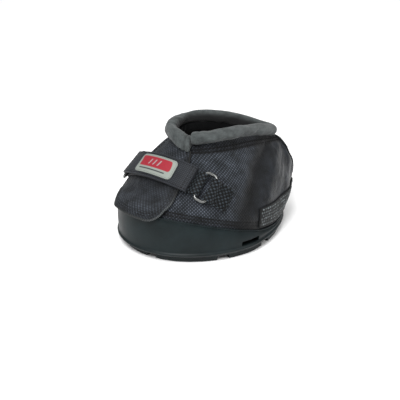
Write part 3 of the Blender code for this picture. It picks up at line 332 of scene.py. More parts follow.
for side in (1, -1):
    middle = math.radians(DRAIN["angle"]) * side
    x, y = cup_outline(middle, 0.0, CUP_WALL / 2)
    ahead, back = cup_outline(middle + 0.001, 0.0, 0.0), cup_outline(middle - 0.001, 0.0, 0.0)
    turn = math.atan2(ahead[1] - back[1], ahead[0] - back[0])
    work = bmesh.new()
    bmesh.ops.create_cube(work, size=1.0)
    bmesh.ops.scale(work, vec=(DRAIN["length"], DRAIN["depth"], DRAIN["height"]), verts=work.verts)
    rims = [e for e in work.edges if abs(e.verts[0].co.y - e.verts[1].co.y) > 0.001]
    bmesh.ops.bevel(work, geom=rims, offset=DRAIN["corner"], segments=3, profile=0.5, affect="EDGES")
    bmesh.ops.rotate(work, cent=(0, 0, 0), matrix=Matrix.Rotation(turn, 3, "Z"), verts=work.verts)
    bmesh.ops.translate(work, vec=(float(x), float(y), RIM_HEIGHT + DRAIN["lift"] + DRAIN["height"] / 2),
                        verts=work.verts)
    mesh = bpy.data.meshes.new("drain_tool")
    work.to_mesh(mesh)
    work.free()
    tool = bpy.data.objects.new("drain_tool", mesh)
    bpy.context.scene.collection.objects.link(tool)
    drain_tools.append(tool)
    cut = outsole.modifiers.new("drain", "BOOLEAN")
    cut.operation, cut.object, cut.solver = "DIFFERENCE", tool, "EXACT"
plain_copy(outsole)
outsole.data.set_sharp_from_angle(angle=math.radians(38.0))
for tool in [lug_blocks, *drain_tools]:
    bpy.data.objects.remove(tool, do_unlink=True)
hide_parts("outsole")
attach(outsole, "boot")

# Insole board and footbed: a pressed fibre board under closed-cell foam with a knit top.
# They drop onto the cup's floor loose, and only the footbed shows, deep inside the collar.
knit_foam, tree, shader = new_finish("knit over closed-cell foam", "1D1E20", 0.9, 0.3)
place = add_node(tree, "ShaderNodeTexCoord").outputs["Object"]
dots = add_node(tree, "ShaderNodeTexVoronoi", None, {"Vector": place, "Scale": 420.0})
raised = add_node(tree, "ShaderNodeBump", {"invert": True},
                  {"Height": dots.outputs["Distance"], "Strength": 0.5, "Distance": 0.0005})
tree.links.new(raised.outputs["Normal"], shader.inputs["Normal"])
shade = add_node(tree, "ShaderNodeMapRange", None,
                 {"Value": dots.outputs["Distance"], "From Max": 0.6, "To Min": 1.0, "To Max": 0.5})
tinted = add_node(tree, "ShaderNodeMix", {"data_type": "RGBA"},
                  {0: shade.outputs["Result"], 6: linear("0E0F10"), 7: linear("26282A")})
tree.links.new(tinted.outputs[2], shader.inputs["Base Color"])
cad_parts["footbed"].data.materials[0] = knit_foam
fibre_board, tree, shader = new_finish("dyed fibre board", "161514", 0.85, 0.15)
place = add_node(tree, "ShaderNodeTexCoord").outputs["Object"]
flecks = add_node(tree, "ShaderNodeTexNoise", None, {"Vector": place, "Scale": 600.0, "Detail": 4.0})
fibres = add_node(tree, "ShaderNodeMix", {"data_type": "RGBA"},
                  {0: flecks.outputs["Fac"], 6: linear("0B0A0A"), 7: linear("1E1C1A")})
tree.links.new(fibres.outputs[2], shader.inputs["Base Color"])
rough = add_node(tree, "ShaderNodeBump", None,
                 {"Height": flecks.outputs["Fac"], "Strength": 0.4, "Distance": 0.0002})
tree.links.new(rough.outputs["Normal"], shader.inputs["Normal"])
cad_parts["insole_board"].data.materials[0] = fibre_board

# Upper quarters: two panels of coated nylon pack cloth, with the weave's threads along and up them.
# They're tucked inside the cup's lip, double stitched above it, and joined by a seam at the back.
# Over the widest place the weave is plain to see; at the heel it pulls smooth, with slack folds.
QUARTER_INSET = 0.0019
COLLAR_WIDTH = 0.0540
COLLAR_FRONT_REACH = 0.0295
COLLAR_BACK_REACH = 0.0740
COLLAR_EDGE_HEIGHT = 0.0902
COLLAR_DROP = 0.0145
HEEL_BULGE = 0.0238
FABRIC = 0.0014
GAP = 0.0003
UPPER_SHARES = ((0.0, 0.0, 0.0), (0.05, 0.01, 0.185), (0.3, 0.09, 0.71), (0.55, 0.34, 0.88),
                (0.75, 0.60, 0.70), (0.9, 0.84, 0.50), (0.955, 0.93, 0.40), (1.0, 1.0, 0.20))
COLLAR_DROP_SHARES = ((0.0, 0.0), (0.23, -0.17), (0.47, -0.034), (0.61, 0.14), (0.81, 0.52), (1.0, 1.0))
COLLAR_REAR_SHARES = (1.75, 1.25)
QUARTER_FRONTS = {"left": (32.4, 1), "right": (-36.0, -1)}
LIP_SEAMS = (0.048, 0.092)
COLLAR_SEAMS = (0.962, 0.925)
# Each fine fold: degrees behind the main one, how far it stands, its lean, its width and its rise.
FINE_FOLDS = ((11.0, -0.0005, 12.0, 2.2, 0.6), (17.0, 0.0004, -8.0, 2.8, 0.4),
              (27.0, -0.0005, 20.0, 2.0, 0.7), (33.0, 0.0004, 5.0, 3.2, 0.5),
              (44.0, -0.0004, -14.0, 2.4, 0.65), (57.0, -0.0004, 9.0, 3.0, 0.5))
NORMAL_STEP = 0.001
# The real cloth repeats about every 1.1 mm; it is coarsened a little so that it still reads from afar.
WEAVE_PITCH = 1.50


def collar_edge(angle):
    """Plan place and height of the upper's top edge."""
    x, y = outline(angle, COLLAR_WIDTH / 2, COLLAR_FRONT_REACH, 0.0, COLLAR_BACK_REACH, COLLAR_REAR_SHARES)
    place = (y + COLLAR_FRONT_REACH) / (COLLAR_FRONT_REACH + COLLAR_BACK_REACH)
    return x, y, COLLAR_EDGE_HEIGHT - COLLAR_DROP * read_shares(COLLAR_DROP_SHARES, 1, place)


def upper_face(angle, rise):
    """The upper's outer face, from the cup's lip (rise 0) to the collar (rise 1)."""
    narrowing, bulge = read_shares(UPPER_SHARES, 1, rise), read_shares(UPPER_SHARES, 2, rise)
    held = np.clip(rise, 0.0, 1.0)
    half_width = mix(SOLE_WIDTH / 2 - CUP_SIDE_LEAN - QUARTER_INSET, COLLAR_WIDTH / 2, narrowing)
    toe = mix(TOE_REACH - CUP_TOE_LEAN - QUARTER_INSET, COLLAR_FRONT_REACH, rise)
    heel = mix(HEEL_REACH - CUP_HEEL_LEAN - QUARTER_INSET, COLLAR_BACK_REACH, held) + HEEL_BULGE * bulge
    rear = [mix(CUP_REAR_SHARES[i], COLLAR_REAR_SHARES[i], held) for i in (0, 1)]
    x, y = outline(angle, half_width, toe, mix(WIDEST_PLACE, 0.0, held), heel, rear)
    return np.stack([x, y, mix(lip_height(angle), collar_edge(angle)[2], rise)], -1)


def outward(angle, rise):
    """Unit normal of the upper's face."""
    held = np.clip(rise, 0.02, 0.98)
    along = upper_face(angle + NORMAL_STEP, held) - upper_face(angle - NORMAL_STEP, held)
    up = upper_face(angle, held + NORMAL_STEP) - upper_face(angle, held - NORMAL_STEP)
    return unit(np.cross(along, up))


def skin(angle, rise, stand):
    """A point that stands off the upper's face."""
    angle, rise, stand = np.broadcast_arrays(angle, rise, stand)
    return upper_face(angle, rise) + np.asarray(stand)[..., None] * outward(angle, rise)


def turn_from_toe(angle):
    return np.degrees(np.abs((angle + math.pi) % (2 * math.pi) - math.pi))


def from_fold(angle, rise):
    """Degrees behind the soft fold that runs down in front of the heel, leaning forward as it drops."""
    up = rise - 0.5
    return turn_from_toe(angle) - (104.0 + 50.0 * up + 60.0 * up ** 2)


def creases(angle, rise):
    """How far the cloth's slack folds stand off the smooth upper, fading at its seams."""
    turn, behind = turn_from_toe(angle), from_fold(angle, rise)
    held = ease((rise - 0.10) / 0.25) * ease((0.98 - rise) / 0.22)
    hollow = -0.0034 * np.exp(-(behind / 8.0) ** 2) - 0.0009 * np.exp(-((behind - 36.0) / 5.0) ** 2)
    ridge = 0.0012 * np.exp(-((behind - 20.0) / 8.0) ** 2) + 0.0005 * np.exp(-((behind - 48.0) / 6.0) ** 2)
    fine = sum(size * np.exp(-((behind - place - way * (rise - 0.5)) / wide) ** 2)
               * ease(1.0 - np.abs(rise - high) / 0.35) for place, size, way, wide, high in FINE_FOLDS)
    slack = 0.0005 * np.sin(0.21 * turn + 9.0 * rise) * ease((turn - 84.0) / 18.0)
    near_collar = np.exp(-((rise - 0.88) / 0.07) ** 2) * ease((turn - 40.0) / 12.0)
    under_collar = 0.0006 * np.sin(0.42 * turn) * near_collar
    stitched = sum(np.exp(-((rise - place) / 0.011) ** 2) for place in (*LIP_SEAMS, *COLLAR_SEAMS))
    return held * (hollow + ridge + fine + slack + under_collar) - 0.00045 * stitched


def edge_rows(count, length, thickness, both=True):
    """Shares along a panel, with rows crowded at its ends, and how full its edge is at each."""
    edge = thickness / 2 / length
    near, full = edge * np.array([0.0, 0.12, 0.45]), np.array([0.0, 0.47, 0.84])
    middle = np.linspace(edge, 1.0 - edge if both else 1.0, count)
    if not both:
        return np.concatenate([near, middle]), np.concatenate([full, np.ones(count)])
    return (np.concatenate([near, middle, 1.0 - near[::-1]]),
            np.concatenate([full, np.ones(count), full[::-1]]))


RIM_FLAT = 0.04


def slab(name, inner, outer, material, full=None, zero_column=0):
    """A closed body between two matching grids, with its edges rounded by `full` to a narrow rim.

    The UV is in millimetres along the cloth.
    """
    rows, columns = inner.shape[:2]
    middle = (inner + outer) / 2
    if full is not None:
        full = np.maximum(full, RIM_FLAT)[..., None]
        outer = middle + (outer - middle) * full
        inner = middle + (inner - middle) * full
    along = np.linalg.norm(np.diff(middle, axis=1), axis=-1)
    u = np.concatenate([np.zeros((rows, 1)), np.cumsum(along, axis=1)], axis=1)
    u = u - u[:, zero_column:zero_column + 1]
    up = np.linalg.norm(np.diff(middle, axis=0), axis=-1)
    v = np.concatenate([np.zeros((1, columns)), np.cumsum(up, axis=0)])
    uv = np.stack([u, v], -1).reshape(-1, 2) * 1000.0
    index = np.arange(rows * columns).reshape(rows, columns)
    low = np.stack([index[:-1, :-1], index[:-1, 1:], index[1:, 1:], index[1:, :-1]], -1).reshape(-1, 4)
    rim = np.concatenate([index[0], index[1:, -1], index[-1, -2::-1], index[-2:0:-1, 0]])
    shift = rows * columns
    sides = np.stack([rim, np.roll(rim, -1), np.roll(rim, -1) + shift, rim + shift], -1)
    faces = np.concatenate([low[:, ::-1], low + shift, sides]).tolist()
    verts = np.concatenate([inner.reshape(-1, 3), outer.reshape(-1, 3)])
    return make_piece(name, verts, faces, material, np.concatenate([uv, uv]))


def read_uv(tree):
    return add_node(tree, "ShaderNodeUVMap", {"uv_map": "UVMap"}).outputs["UV"]


def calculate(tree, operation, first, second=0.0):
    return add_node(tree, "ShaderNodeMath", {"operation": operation}, {0: first, 1: second}).outputs[0]


def plain_weave(tree, place, pitch, turn, weft=0.35):
    """Height of a plain weave with threads `pitch` apart, turned by an angle; the weft lies lower."""
    turned = add_node(tree, "ShaderNodeVectorRotate", {"rotation_type": "Z_AXIS"},
                      {"Vector": place, "Angle": math.radians(turn)})
    cells = add_node(tree, "ShaderNodeVectorMath", {"operation": "SCALE"},
                     {0: turned.outputs[0], "Scale": 1.0 / pitch})
    parts = add_node(tree, "ShaderNodeSeparateXYZ", None, {0: cells.outputs[0]})
    within = [calculate(tree, "FRACT", parts.outputs[i]) for i in (0, 1)]
    arch = [calculate(tree, "SINE", calculate(tree, "MULTIPLY", place, math.pi)) for place in within]
    count = calculate(tree, "ADD", calculate(tree, "FLOOR", parts.outputs[0]),
                      calculate(tree, "FLOOR", parts.outputs[1]))
    even = calculate(tree, "FLOORED_MODULO", count, 2.0)
    crowns = [calculate(tree, "ADD", calculate(tree, "MULTIPLY", arch[1 - i], 0.45), 0.55) for i in (0, 1)]
    over = [calculate(tree, "MULTIPLY", calculate(tree, "POWER", arch[i], 0.6), crowns[i]) for i in (0, 1)]
    low = calculate(tree, "MULTIPLY", over[1], weft)
    return add_node(tree, "ShaderNodeMix", {"data_type": "FLOAT"}, {0: even, 2: over[0], 3: low}).outputs[0]


# Coated nylon: painted shade in the hollows of the weave and a painted highlight on its threads, with a faint
# sheen on the threads.
# The weave's strength follows a vertex attribute, because it pulls smooth towards the heel.
pack_cloth, tree, shader = new_finish("coated nylon pack cloth", "1D2124", 0.62, 0.14)
place = read_uv(tree)
threads = plain_weave(tree, place, WEAVE_PITCH, 0.0)
strength = add_node(tree, "ShaderNodeAttribute", {"attribute_name": "weave"}).outputs["Fac"]
drift = add_node(tree, "ShaderNodeTexNoise", None,
                 {"Vector": place, "Scale": 0.09, "Detail": 4.0, "Roughness": 0.6})
tone = add_node(tree, "ShaderNodeValToRGB", None, {"Fac": drift.outputs["Fac"]})
tone.color_ramp.elements[0].position = 0.34
tone.color_ramp.elements[0].color = linear("121518")
tone.color_ramp.elements[1].position = 0.68
tone.color_ramp.elements[1].color = linear("2D3137")
lit = add_node(tree, "ShaderNodeMapRange", None,
               {"Value": threads, "From Min": 0.15, "From Max": 0.90, "To Min": 0.25, "To Max": 3.2})
weave_light = add_node(tree, "ShaderNodeMix", {"data_type": "FLOAT"},
                 {0: strength, 2: 0.46, 3: lit.outputs["Result"]})
# The 'hollow' vertex attribute darkens the colour as painted shade: in folds, along seams and under other
# parts.
deep = add_node(tree, "ShaderNodeAttribute", {"attribute_name": "hollow"}).outputs["Fac"]
painted_shade = add_node(tree, "ShaderNodeMapRange", None, {"Value": deep, "To Min": 1.0, "To Max": 0.12})
light = calculate(tree, "MULTIPLY", weave_light.outputs[0], painted_shade.outputs[0])
shaded = add_node(tree, "ShaderNodeVectorMath", {"operation": "SCALE"},
                  {0: tone.outputs["Color"], "Scale": light})
tree.links.new(shaded.outputs[0], shader.inputs["Base Color"])
rumples = add_node(tree, "ShaderNodeTexNoise", None,
                   {"Vector": place, "Scale": 0.16, "Detail": 5.0, "Roughness": 0.62})
rumpled = add_node(tree, "ShaderNodeBump", None,
                   {"Height": rumples.outputs["Fac"], "Strength": 0.55, "Distance": 0.002})
raised = add_node(tree, "ShaderNodeBump", None,
                  {"Height": threads, "Distance": 0.0005, "Normal": rumpled.outputs[0],
                   "Strength": calculate(tree, "MULTIPLY", strength, 0.9)})
tree.links.new(raised.outputs[0], shader.inputs["Normal"])
dull = add_node(tree, "ShaderNodeMapRange", None, {"Value": strength, "To Min": 0.40, "To Max": 0.68})
tree.links.new(dull.outputs["Result"], shader.inputs["Roughness"])
shader.inputs["Sheen Weight"].default_value = 0.05
shader.inputs["Sheen Roughness"].default_value = 0.5


def point_values(piece, name, values):
    layer = piece.data.attributes.new(name, "FLOAT", "POINT")
    layer.data.foreach_set("value", np.asarray(values, float).ravel())


def set_weave_and_shade(piece, weave, hollow):
    """Writes how strongly the weave shows and how much painted shade darkens each point, deep in a fold or
    seam or under another part, on both faces.
    """
    half = len(piece.data.vertices) // 2
    for name, values in (("weave", weave), ("hollow", hollow)):
        face = np.broadcast_to(np.clip(values, 0.0, 1.0).ravel(), half)
        point_values(piece, name, np.tile(face, 2))


def keep_side(points, side):
    """Holds a half's points on its own side of the back seam."""
    points = points.copy()
    points[..., 0] = side * np.maximum(points[..., 0] * side, GAP / 2)
    return points


def tucked_cloth(angles, rises, stand):
    """Outer and inner grids of cloth over the upper, with two more rows down inside the cup's lip."""
    angle, rise = np.broadcast_arrays(angles, rises)
    fold = stand(angle, rise)
    outer, inner = skin(angle, rise, fold), skin(angle, rise, fold - FABRIC)
    lip = lip_height(angles)
    for share in (0.5, 1.0):
        low = lip - TUCK_SHARE * share * (lip - FLOOR_HEIGHT)
        inset = mix(QUARTER_INSET, CUP_WALL + QUARTER_INSET - CUP_LIP_WALL, share)
        rows = [np.stack([*cup_outline(angles, 1.0 - TUCK_SHARE * share, inset + depth), low], -1)[None]
                for depth in (0.0, FABRIC)]
        outer, inner = np.concatenate([rows[0], outer]), np.concatenate([rows[1], inner])
    return outer, inner


for name, (front, side) in QUARTER_FRONTS.items():
    shares, full = edge_rows(150, 0.19, FABRIC, both=False)
    angles = np.radians(mix(front, 180.0 * side, shares))
    rises = np.concatenate([np.linspace(0.0, 0.06, 4), np.linspace(0.08, 1.08, 69)])
    angle, rise = np.meshgrid(angles, rises)
    outer, inner = tucked_cloth(angles, rises[:, None], creases)
    quarter = slab(name + "_quarter_cloth", keep_side(inner, side), keep_side(outer, side), pack_cloth,
                   np.tile(full, (len(outer), 1)), int(np.argmin(np.abs(turn_from_toe(angles) - 80.0))))
    behind = np.concatenate([from_fold(angle[:2], rise[:2]), from_fold(angle, rise)])
    # Painted shade, passed on as 'hollow': along the seams, down by the cup's lip, under the collar roll and
    # in the soft fold before the heel.
    sewn = 0.5 * sum(np.exp(-((rise - place) / 0.011) ** 2) for place in (*LIP_SEAMS, *COLLAR_SEAMS))
    sewn = sewn + 0.45 * ease((0.115 - rise) / 0.02) + 0.60 * ease((rise - 0.895) / 0.02)
    set_weave_and_shade(quarter, 1.0 - 0.88 * ease((behind + 14.0) / 24.0),
              0.93 * np.exp(-(behind / 9.5) ** 2) + np.concatenate([sewn[:2], sewn]))
    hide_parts(name + "_quarter")
    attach(quarter, "boot")

# Linings: a brushed knit over thin foam inside each quarter, caught in the same seams.
# Seen only down the collar's opening, so it has loft and pile but no stitching of its own.
LINING = 0.0022
brushed_knit, tree, shader = new_finish("brushed knit over foam", "0A0B0C", 0.95, 0.08)
place = read_uv(tree)
knit_loops = add_node(tree, "ShaderNodeTexVoronoi", None, {"Vector": place, "Scale": 0.9, "Randomness": 0.35})
drift = add_node(tree, "ShaderNodeTexNoise", None, {"Vector": place, "Scale": 0.16, "Detail": 4.0})
loft = add_node(tree, "ShaderNodeMix", {"data_type": "RGBA"},
                {0: drift.outputs["Fac"], 6: linear("050506"), 7: linear("0B0C0D")})
tree.links.new(loft.outputs[2], shader.inputs["Base Color"])
pile = add_node(tree, "ShaderNodeBump", {"invert": True},
                {"Height": knit_loops.outputs["Distance"], "Strength": 0.6, "Distance": 0.0005})
tree.links.new(pile.outputs["Normal"], shader.inputs["Normal"])
shader.inputs["Sheen Weight"].default_value = 0.05
for name, (front, side) in QUARTER_FRONTS.items():
    shares, full = edge_rows(80, 0.17, LINING, both=False)
    angle, rise = np.meshgrid(np.radians(mix(front, 180.0 * side, shares)), np.linspace(0.08, 1.07, 33))
    fold = creases(angle, rise)
    loft = 0.0004 * np.sin(angle * 31.0) * np.sin(rise * 17.0)
    inner = keep_side(skin(angle, rise, fold - FABRIC - GAP - LINING + loft), side)
    outer = keep_side(skin(angle, rise, fold - FABRIC - GAP), side)
    lining = slab(name + "_lining_knit", inner, outer, brushed_knit, np.tile(full, (len(outer), 1)))
    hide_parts(name + "_lining")
    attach(lining, "boot")

# Stitches: every sewn and studded row is placed by this one node tree. It walks along lines,
# drops a rounded grain at each step, turns it along the line and lays it flat on the cloth.
stitcher = bpy.data.node_groups.new("row_of_grains", "GeometryNodeTree")
stitcher.interface.new_socket("Lines", in_out="INPUT", socket_type="NodeSocketGeometry")
stitcher.interface.new_socket("Step", in_out="INPUT", socket_type="NodeSocketFloat")
stitcher.interface.new_socket("Size", in_out="INPUT", socket_type="NodeSocketVector")
stitcher.interface.new_socket("Finish", in_out="INPUT", socket_type="NodeSocketMaterial")
stitcher.interface.new_socket("Grains", in_out="OUTPUT", socket_type="NodeSocketGeometry")
given = add_node(stitcher, "NodeGroupInput")
walk = add_node(stitcher, "GeometryNodeMeshToCurve", None, {"Mesh": given.outputs["Lines"]})
steps = add_node(stitcher, "GeometryNodeResampleCurve", {"mode": "LENGTH"},
                 {"Curve": walk.outputs[0], "Length": given.outputs["Step"]})
facing = add_node(stitcher, "GeometryNodeInputNamedAttribute", {"data_type": "FLOAT_VECTOR"},
                  {"Name": "facing"})
along = add_node(stitcher, "GeometryNodeInputTangent")
lengthwise = add_node(stitcher, "FunctionNodeAlignRotationToVector", {"axis": "X"},
                      {"Vector": along.outputs[0]})
flat = add_node(stitcher, "FunctionNodeAlignRotationToVector", {"axis": "Z", "pivot_axis": "X"},
                {"Rotation": lengthwise.outputs[0], "Vector": facing.outputs["Attribute"]})
grain = add_node(stitcher, "GeometryNodeMeshIcoSphere", None, {"Radius": 0.5, "Subdivisions": 2})
laid = add_node(stitcher, "GeometryNodeInstanceOnPoints", None,
                {"Points": steps.outputs[0], "Instance": grain.outputs["Mesh"], "Rotation": flat.outputs[0],
                 "Scale": given.outputs["Size"]})
solid = add_node(stitcher, "GeometryNodeRealizeInstances", None, {0: laid.outputs[0]})
smooth = add_node(stitcher, "GeometryNodeSetShadeSmooth", None, {0: solid.outputs[0]})
finished = add_node(stitcher, "GeometryNodeSetMaterial", None,
                    {"Geometry": smooth.outputs[0], "Material": given.outputs["Finish"]})
add_node(stitcher, "NodeGroupOutput", None, {0: finished.outputs[0]})


def grain_rows(name, rows, step, size, material, body):
    """Grains along rows of points; each row is (points, facings)."""
    verts, edges, facings = [], [], []
    for points, facing in rows:
        first = len(verts)
        verts.extend(np.asarray(points, float).tolist())
        facings.extend(np.asarray(facing, float).ravel().tolist())
        edges.extend((i, i + 1) for i in range(first, len(verts) - 1))
    mesh = bpy.data.meshes.new(name)
    mesh.from_pydata(verts, edges, [])
    layer = mesh.attributes.new("facing", "FLOAT_VECTOR", "POINT")
    layer.data.foreach_set("vector", facings)
    piece = bpy.data.objects.new(name, mesh)
    bpy.context.scene.collection.objects.link(piece)
    step_maker = piece.modifiers.new("grains", "NODES")
    step_maker.node_group = stitcher
    values = {"Step": step, "Size": size, "Finish": material}
    for item in stitcher.interface.items_tree:
        if item.in_out == "INPUT" and item.name in values:
            step_maker[item.identifier] = values[item.name]
    piece.update_tag()
    bpy.context.view_layer.update()
    plain_copy(piece)
    if not piece.data.materials:
        piece.data.materials.append(material)
    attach(piece, body)
    return piece


def surface_row(angles, rises, stand, count=240):
    """A row over the upper through given angles and rises, evenly filled in."""
    shares = np.linspace(0.0, 1.0, count)
    places = np.linspace(0.0, 1.0, len(angles))
    angle, rise = np.interp(shares, places, angles), np.interp(shares, places, rises)
    height = stand(angle, rise) if callable(stand) else stand
    return skin(angle, rise, height), outward(angle, rise)


def thread_finish(name, colour, roughness, specular, dark, light):
    """Polyester thread: a fine twist that mottles it between two tones."""
    material, tree, shader = new_finish(name, colour, roughness, specular)
    place = add_node(tree, "ShaderNodeTexCoord").outputs["Object"]
    twist = add_node(tree, "ShaderNodeTexNoise", None, {"Vector": place, "Scale": 900.0})
    strand = add_node(tree, "ShaderNodeMix", {"data_type": "RGBA"},
                      {0: twist.outputs["Fac"], 6: linear(dark), 7: linear(light)})
    tree.links.new(strand.outputs[2], shader.inputs["Base Color"])
    return material


dark_thread = thread_finish("dark polyester thread", "0C0D0E", 0.55, 0.15, "030303", "0A0B0C")
grey_thread = thread_finish("grey polyester thread", "6F7577", 0.5, 0.5, "4A4E50", "6A6F71")
# Each stitch: the step from one to the next, then its length, width and height.
LIP_STITCH = (0.0036, (0.0027, 0.0010, 0.0007))
COLLAR_STITCH = (0.0036, (0.0028, 0.0013, 0.0009))

seams = []
for name, (front, side) in QUARTER_FRONTS.items():
    angles = np.radians(np.linspace(front + 1.5 * side, 176.0 * side, 60))
    for rise in LIP_SEAMS:
        seams.append(surface_row(angles, np.full(60, rise), lambda a, r: creases(a, r) + 0.0001, 700))
grain_rows("lip_seam_stitches", seams, *LIP_STITCH, dark_thread, "boot")
seams = []
for name, (front, side) in QUARTER_FRONTS.items():
    angles = np.radians(np.linspace(front + 2.0 * side, 178.0 * side, 60))
    for rise in COLLAR_SEAMS:
        seams.append(surface_row(angles, np.full(60, rise), lambda a, r: creases(a, r) + 0.0002, 700))
grain_rows("collar_seam_stitches", seams, *COLLAR_STITCH, dark_thread, "boot")

# Heel guard: a rubber-coated patch moulded with rows of small studs, over the base of the heel.
# It's sewn to both quarters all round and wears pale on top of its studs.
HEEL_GUARD_ANGLE = 105.5
HEEL_GUARD_THICKNESS = 0.0012
HEEL_GUARD_SHARES = (0.02, 0.30, 0.15)
STUD = (0.0031, (0.0020, 0.0018, 0.0015))
STUD_SINK = 0.0001
GUARD_STITCH = (0.0029, (0.0022, 0.0006, 0.0005))
studded_rubber, tree, shader = new_finish("studded rubber coating", "141617", 0.55, 0.2)
place = add_node(tree, "ShaderNodeTexCoord").outputs["Object"]
wear = add_node(tree, "ShaderNodeTexNoise", None, {"Vector": place, "Scale": 160.0, "Detail": 5.0})
wear_and_painted_light = add_node(tree, "ShaderNodeMix", {"data_type": "RGBA"},
                {0: wear.outputs["Fac"], 6: linear("050606"), 7: linear("121415")})
tree.links.new(wear_and_painted_light.outputs[2], shader.inputs["Base Color"])
rough = add_node(tree, "ShaderNodeBump", None,
                 {"Height": wear.outputs["Fac"], "Strength": 0.3, "Distance": 0.0003})
tree.links.new(rough.outputs["Normal"], shader.inputs["Normal"])
worn_studs, tree, shader = new_finish("worn stud tops", "4A4F51", 0.42, 0.4)
place = add_node(tree, "ShaderNodeTexCoord").outputs["Object"]
wear = add_node(tree, "ShaderNodeTexNoise", None, {"Vector": place, "Scale": 240.0, "Detail": 4.0})
patches = add_node(tree, "ShaderNodeMapRange", None,
                   {"Value": wear.outputs["Fac"], "From Min": 0.42, "From Max": 0.62})
wear_and_painted_light = add_node(tree, "ShaderNodeMix", {"data_type": "RGBA"},
                {0: patches.outputs[0], 6: linear("121516"), 7: linear("5F6668")})
tree.links.new(wear_and_painted_light.outputs[2], shader.inputs["Base Color"])


def guard_rise(angle, share):
    to_side = np.abs(turn_from_toe(angle) - 180.0) / (180.0 - HEEL_GUARD_ANGLE)
    low, top, slope = HEEL_GUARD_SHARES
    return mix(low, top * (1.0 - slope * to_side ** 4), share)


shares, full_rows = edge_rows(16, 0.02, HEEL_GUARD_THICKNESS)
across, full_columns = edge_rows(110, 0.16, HEEL_GUARD_THICKNESS)
angle, share = np.meshgrid(np.radians(mix(HEEL_GUARD_ANGLE, 360.0 - HEEL_GUARD_ANGLE, across)), shares)
rise = guard_rise(angle, share)
base = creases(angle, rise) + GAP
guard = slab("heel_guard_patch", skin(angle, rise, base), skin(angle, rise, base + HEEL_GUARD_THICKNESS),
             studded_rubber, np.minimum.outer(full_rows, full_columns))
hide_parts("heel_guard")
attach(guard, "boot")


def guard_top(angle, rise):
    return creases(angle, rise) + GAP + HEEL_GUARD_THICKNESS - STUD_SINK


rows = []
for number, share in enumerate(np.linspace(0.13, 0.88, 6)):
    shift = 1.2 * (number % 2)
    angles = np.radians(np.linspace(HEEL_GUARD_ANGLE + 2.2 + shift, 357.8 - HEEL_GUARD_ANGLE - shift, 90))
    rows.append(surface_row(angles, guard_rise(angles, share), guard_top, 500))
studs = grain_rows("heel_guard_studs", rows, *STUD, worn_studs, "boot")
rows = []
for share in (0.045, 0.955):
    angles = np.radians(np.linspace(HEEL_GUARD_ANGLE + 1.2, 358.8 - HEEL_GUARD_ANGLE, 90))
    rows.append(surface_row(angles, guard_rise(angles, share), guard_top, 500))
for turn in (HEEL_GUARD_ANGLE + 0.9, 359.1 - HEEL_GUARD_ANGLE):
    angles = np.full(30, math.radians(turn))
    rows.append(surface_row(angles, guard_rise(angles, np.linspace(0.06, 0.94, 30)), guard_top, 60))
grain_rows("heel_guard_stitches", rows, *GUARD_STITCH, dark_thread, "boot")

# Back stay: a strip of the same cloth sewn down both sides, over the seam that joins the quarters.
BACK_STAY = {"width": 0.0140, "thickness": 0.0010, "low": 0.37, "high": 0.985}
STAY_STITCH = (0.0030, (0.0023, 0.0006, 0.0005))


def stay_angle(share, rise):
    step = math.radians(1.0)
    spread = np.linalg.norm(upper_face(math.pi + step, rise) - upper_face(math.pi - step, rise), axis=-1)
    return math.pi + share * BACK_STAY["width"] * 2 * step / spread


shares, full_columns = edge_rows(14, BACK_STAY["width"], BACK_STAY["thickness"])
ups, full_rows = edge_rows(30, 0.045, BACK_STAY["thickness"])
share, rise = np.meshgrid(shares - 0.5, mix(BACK_STAY["low"], BACK_STAY["high"], ups))
angle = stay_angle(share, rise)
base = creases(angle, rise) + GAP
stay = slab("back_stay_strip", skin(angle, rise, base), skin(angle, rise, base + BACK_STAY["thickness"]),
            pack_cloth, np.minimum.outer(full_rows, full_columns))
# The stay is darkened evenly all over, by the same value that paints shade elsewhere.
set_weave_and_shade(stay, 0.2, 0.5)
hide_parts("back_stay")
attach(stay, "boot")
rows = []
for share in (-0.38, 0.38):
    rises = np.linspace(BACK_STAY["low"] + 0.02, BACK_STAY["high"] - 0.02, 60)
    rows.append(surface_row(stay_angle(share, rises), rises,
                            lambda a, r: creases(a, r) + GAP + BACK_STAY["thickness"], 100))
grain_rows("back_stay_stitches", rows, *STAY_STITCH, dark_thread, "boot")

# Padded collar: a tube of stretch knit over soft foam that goes round the leg. One stretch is
# sewn to the quarters, and the other to the outer flap, so the roll opens with the flap.
# Its near end is finished with a narrow bound pleat, and it's puffed out by a short simulation.
COLLAR_ROLL_RADIUS = 0.0070
COLLAR_SPLIT_ANGLE = 38.0
COLLAR_SLACK = 0.0014
COLLAR_LIFT = 0.0009
COLLAR_CAP = 0.0012
END_ROUNDING = 0.0022
PRESSURE = 4.0
FRONT_SAG = (0.0034, 0.0045)
FRONT_SINK = 0.0034
FLAP_HINGE_ANGLE = -34.7
FLAP_ROOT_STEP = 1.2
collar_knit, tree, shader = new_finish("stretch knit over foam", "3C3F40", 0.78, 0.2)
place = read_uv(tree)
wales = plain_weave(tree, place, 0.75, 0.0, 0.8)
drift = add_node(tree, "ShaderNodeTexNoise", None,
                 {"Vector": place, "Scale": 0.13, "Detail": 6.0, "Roughness": 0.75})
wide = add_node(tree, "ShaderNodeMapRange", None,
                {"Value": drift.outputs["Fac"], "From Min": 0.35, "From Max": 0.65})
tone = add_node(tree, "ShaderNodeMix", {"data_type": "RGBA"},
                {0: wide.outputs[0], 6: linear("262A2A"), 7: linear("454A4A")})
around = add_node(tree, "ShaderNodeAttribute", {"attribute_name": "inner_side"}).outputs["Fac"]
lined = add_node(tree, "ShaderNodeMix", {"data_type": "RGBA"},
                 {0: around, 6: tone.outputs[2], 7: linear("0A0B0C")})
tree.links.new(lined.outputs[2], shader.inputs["Base Color"])
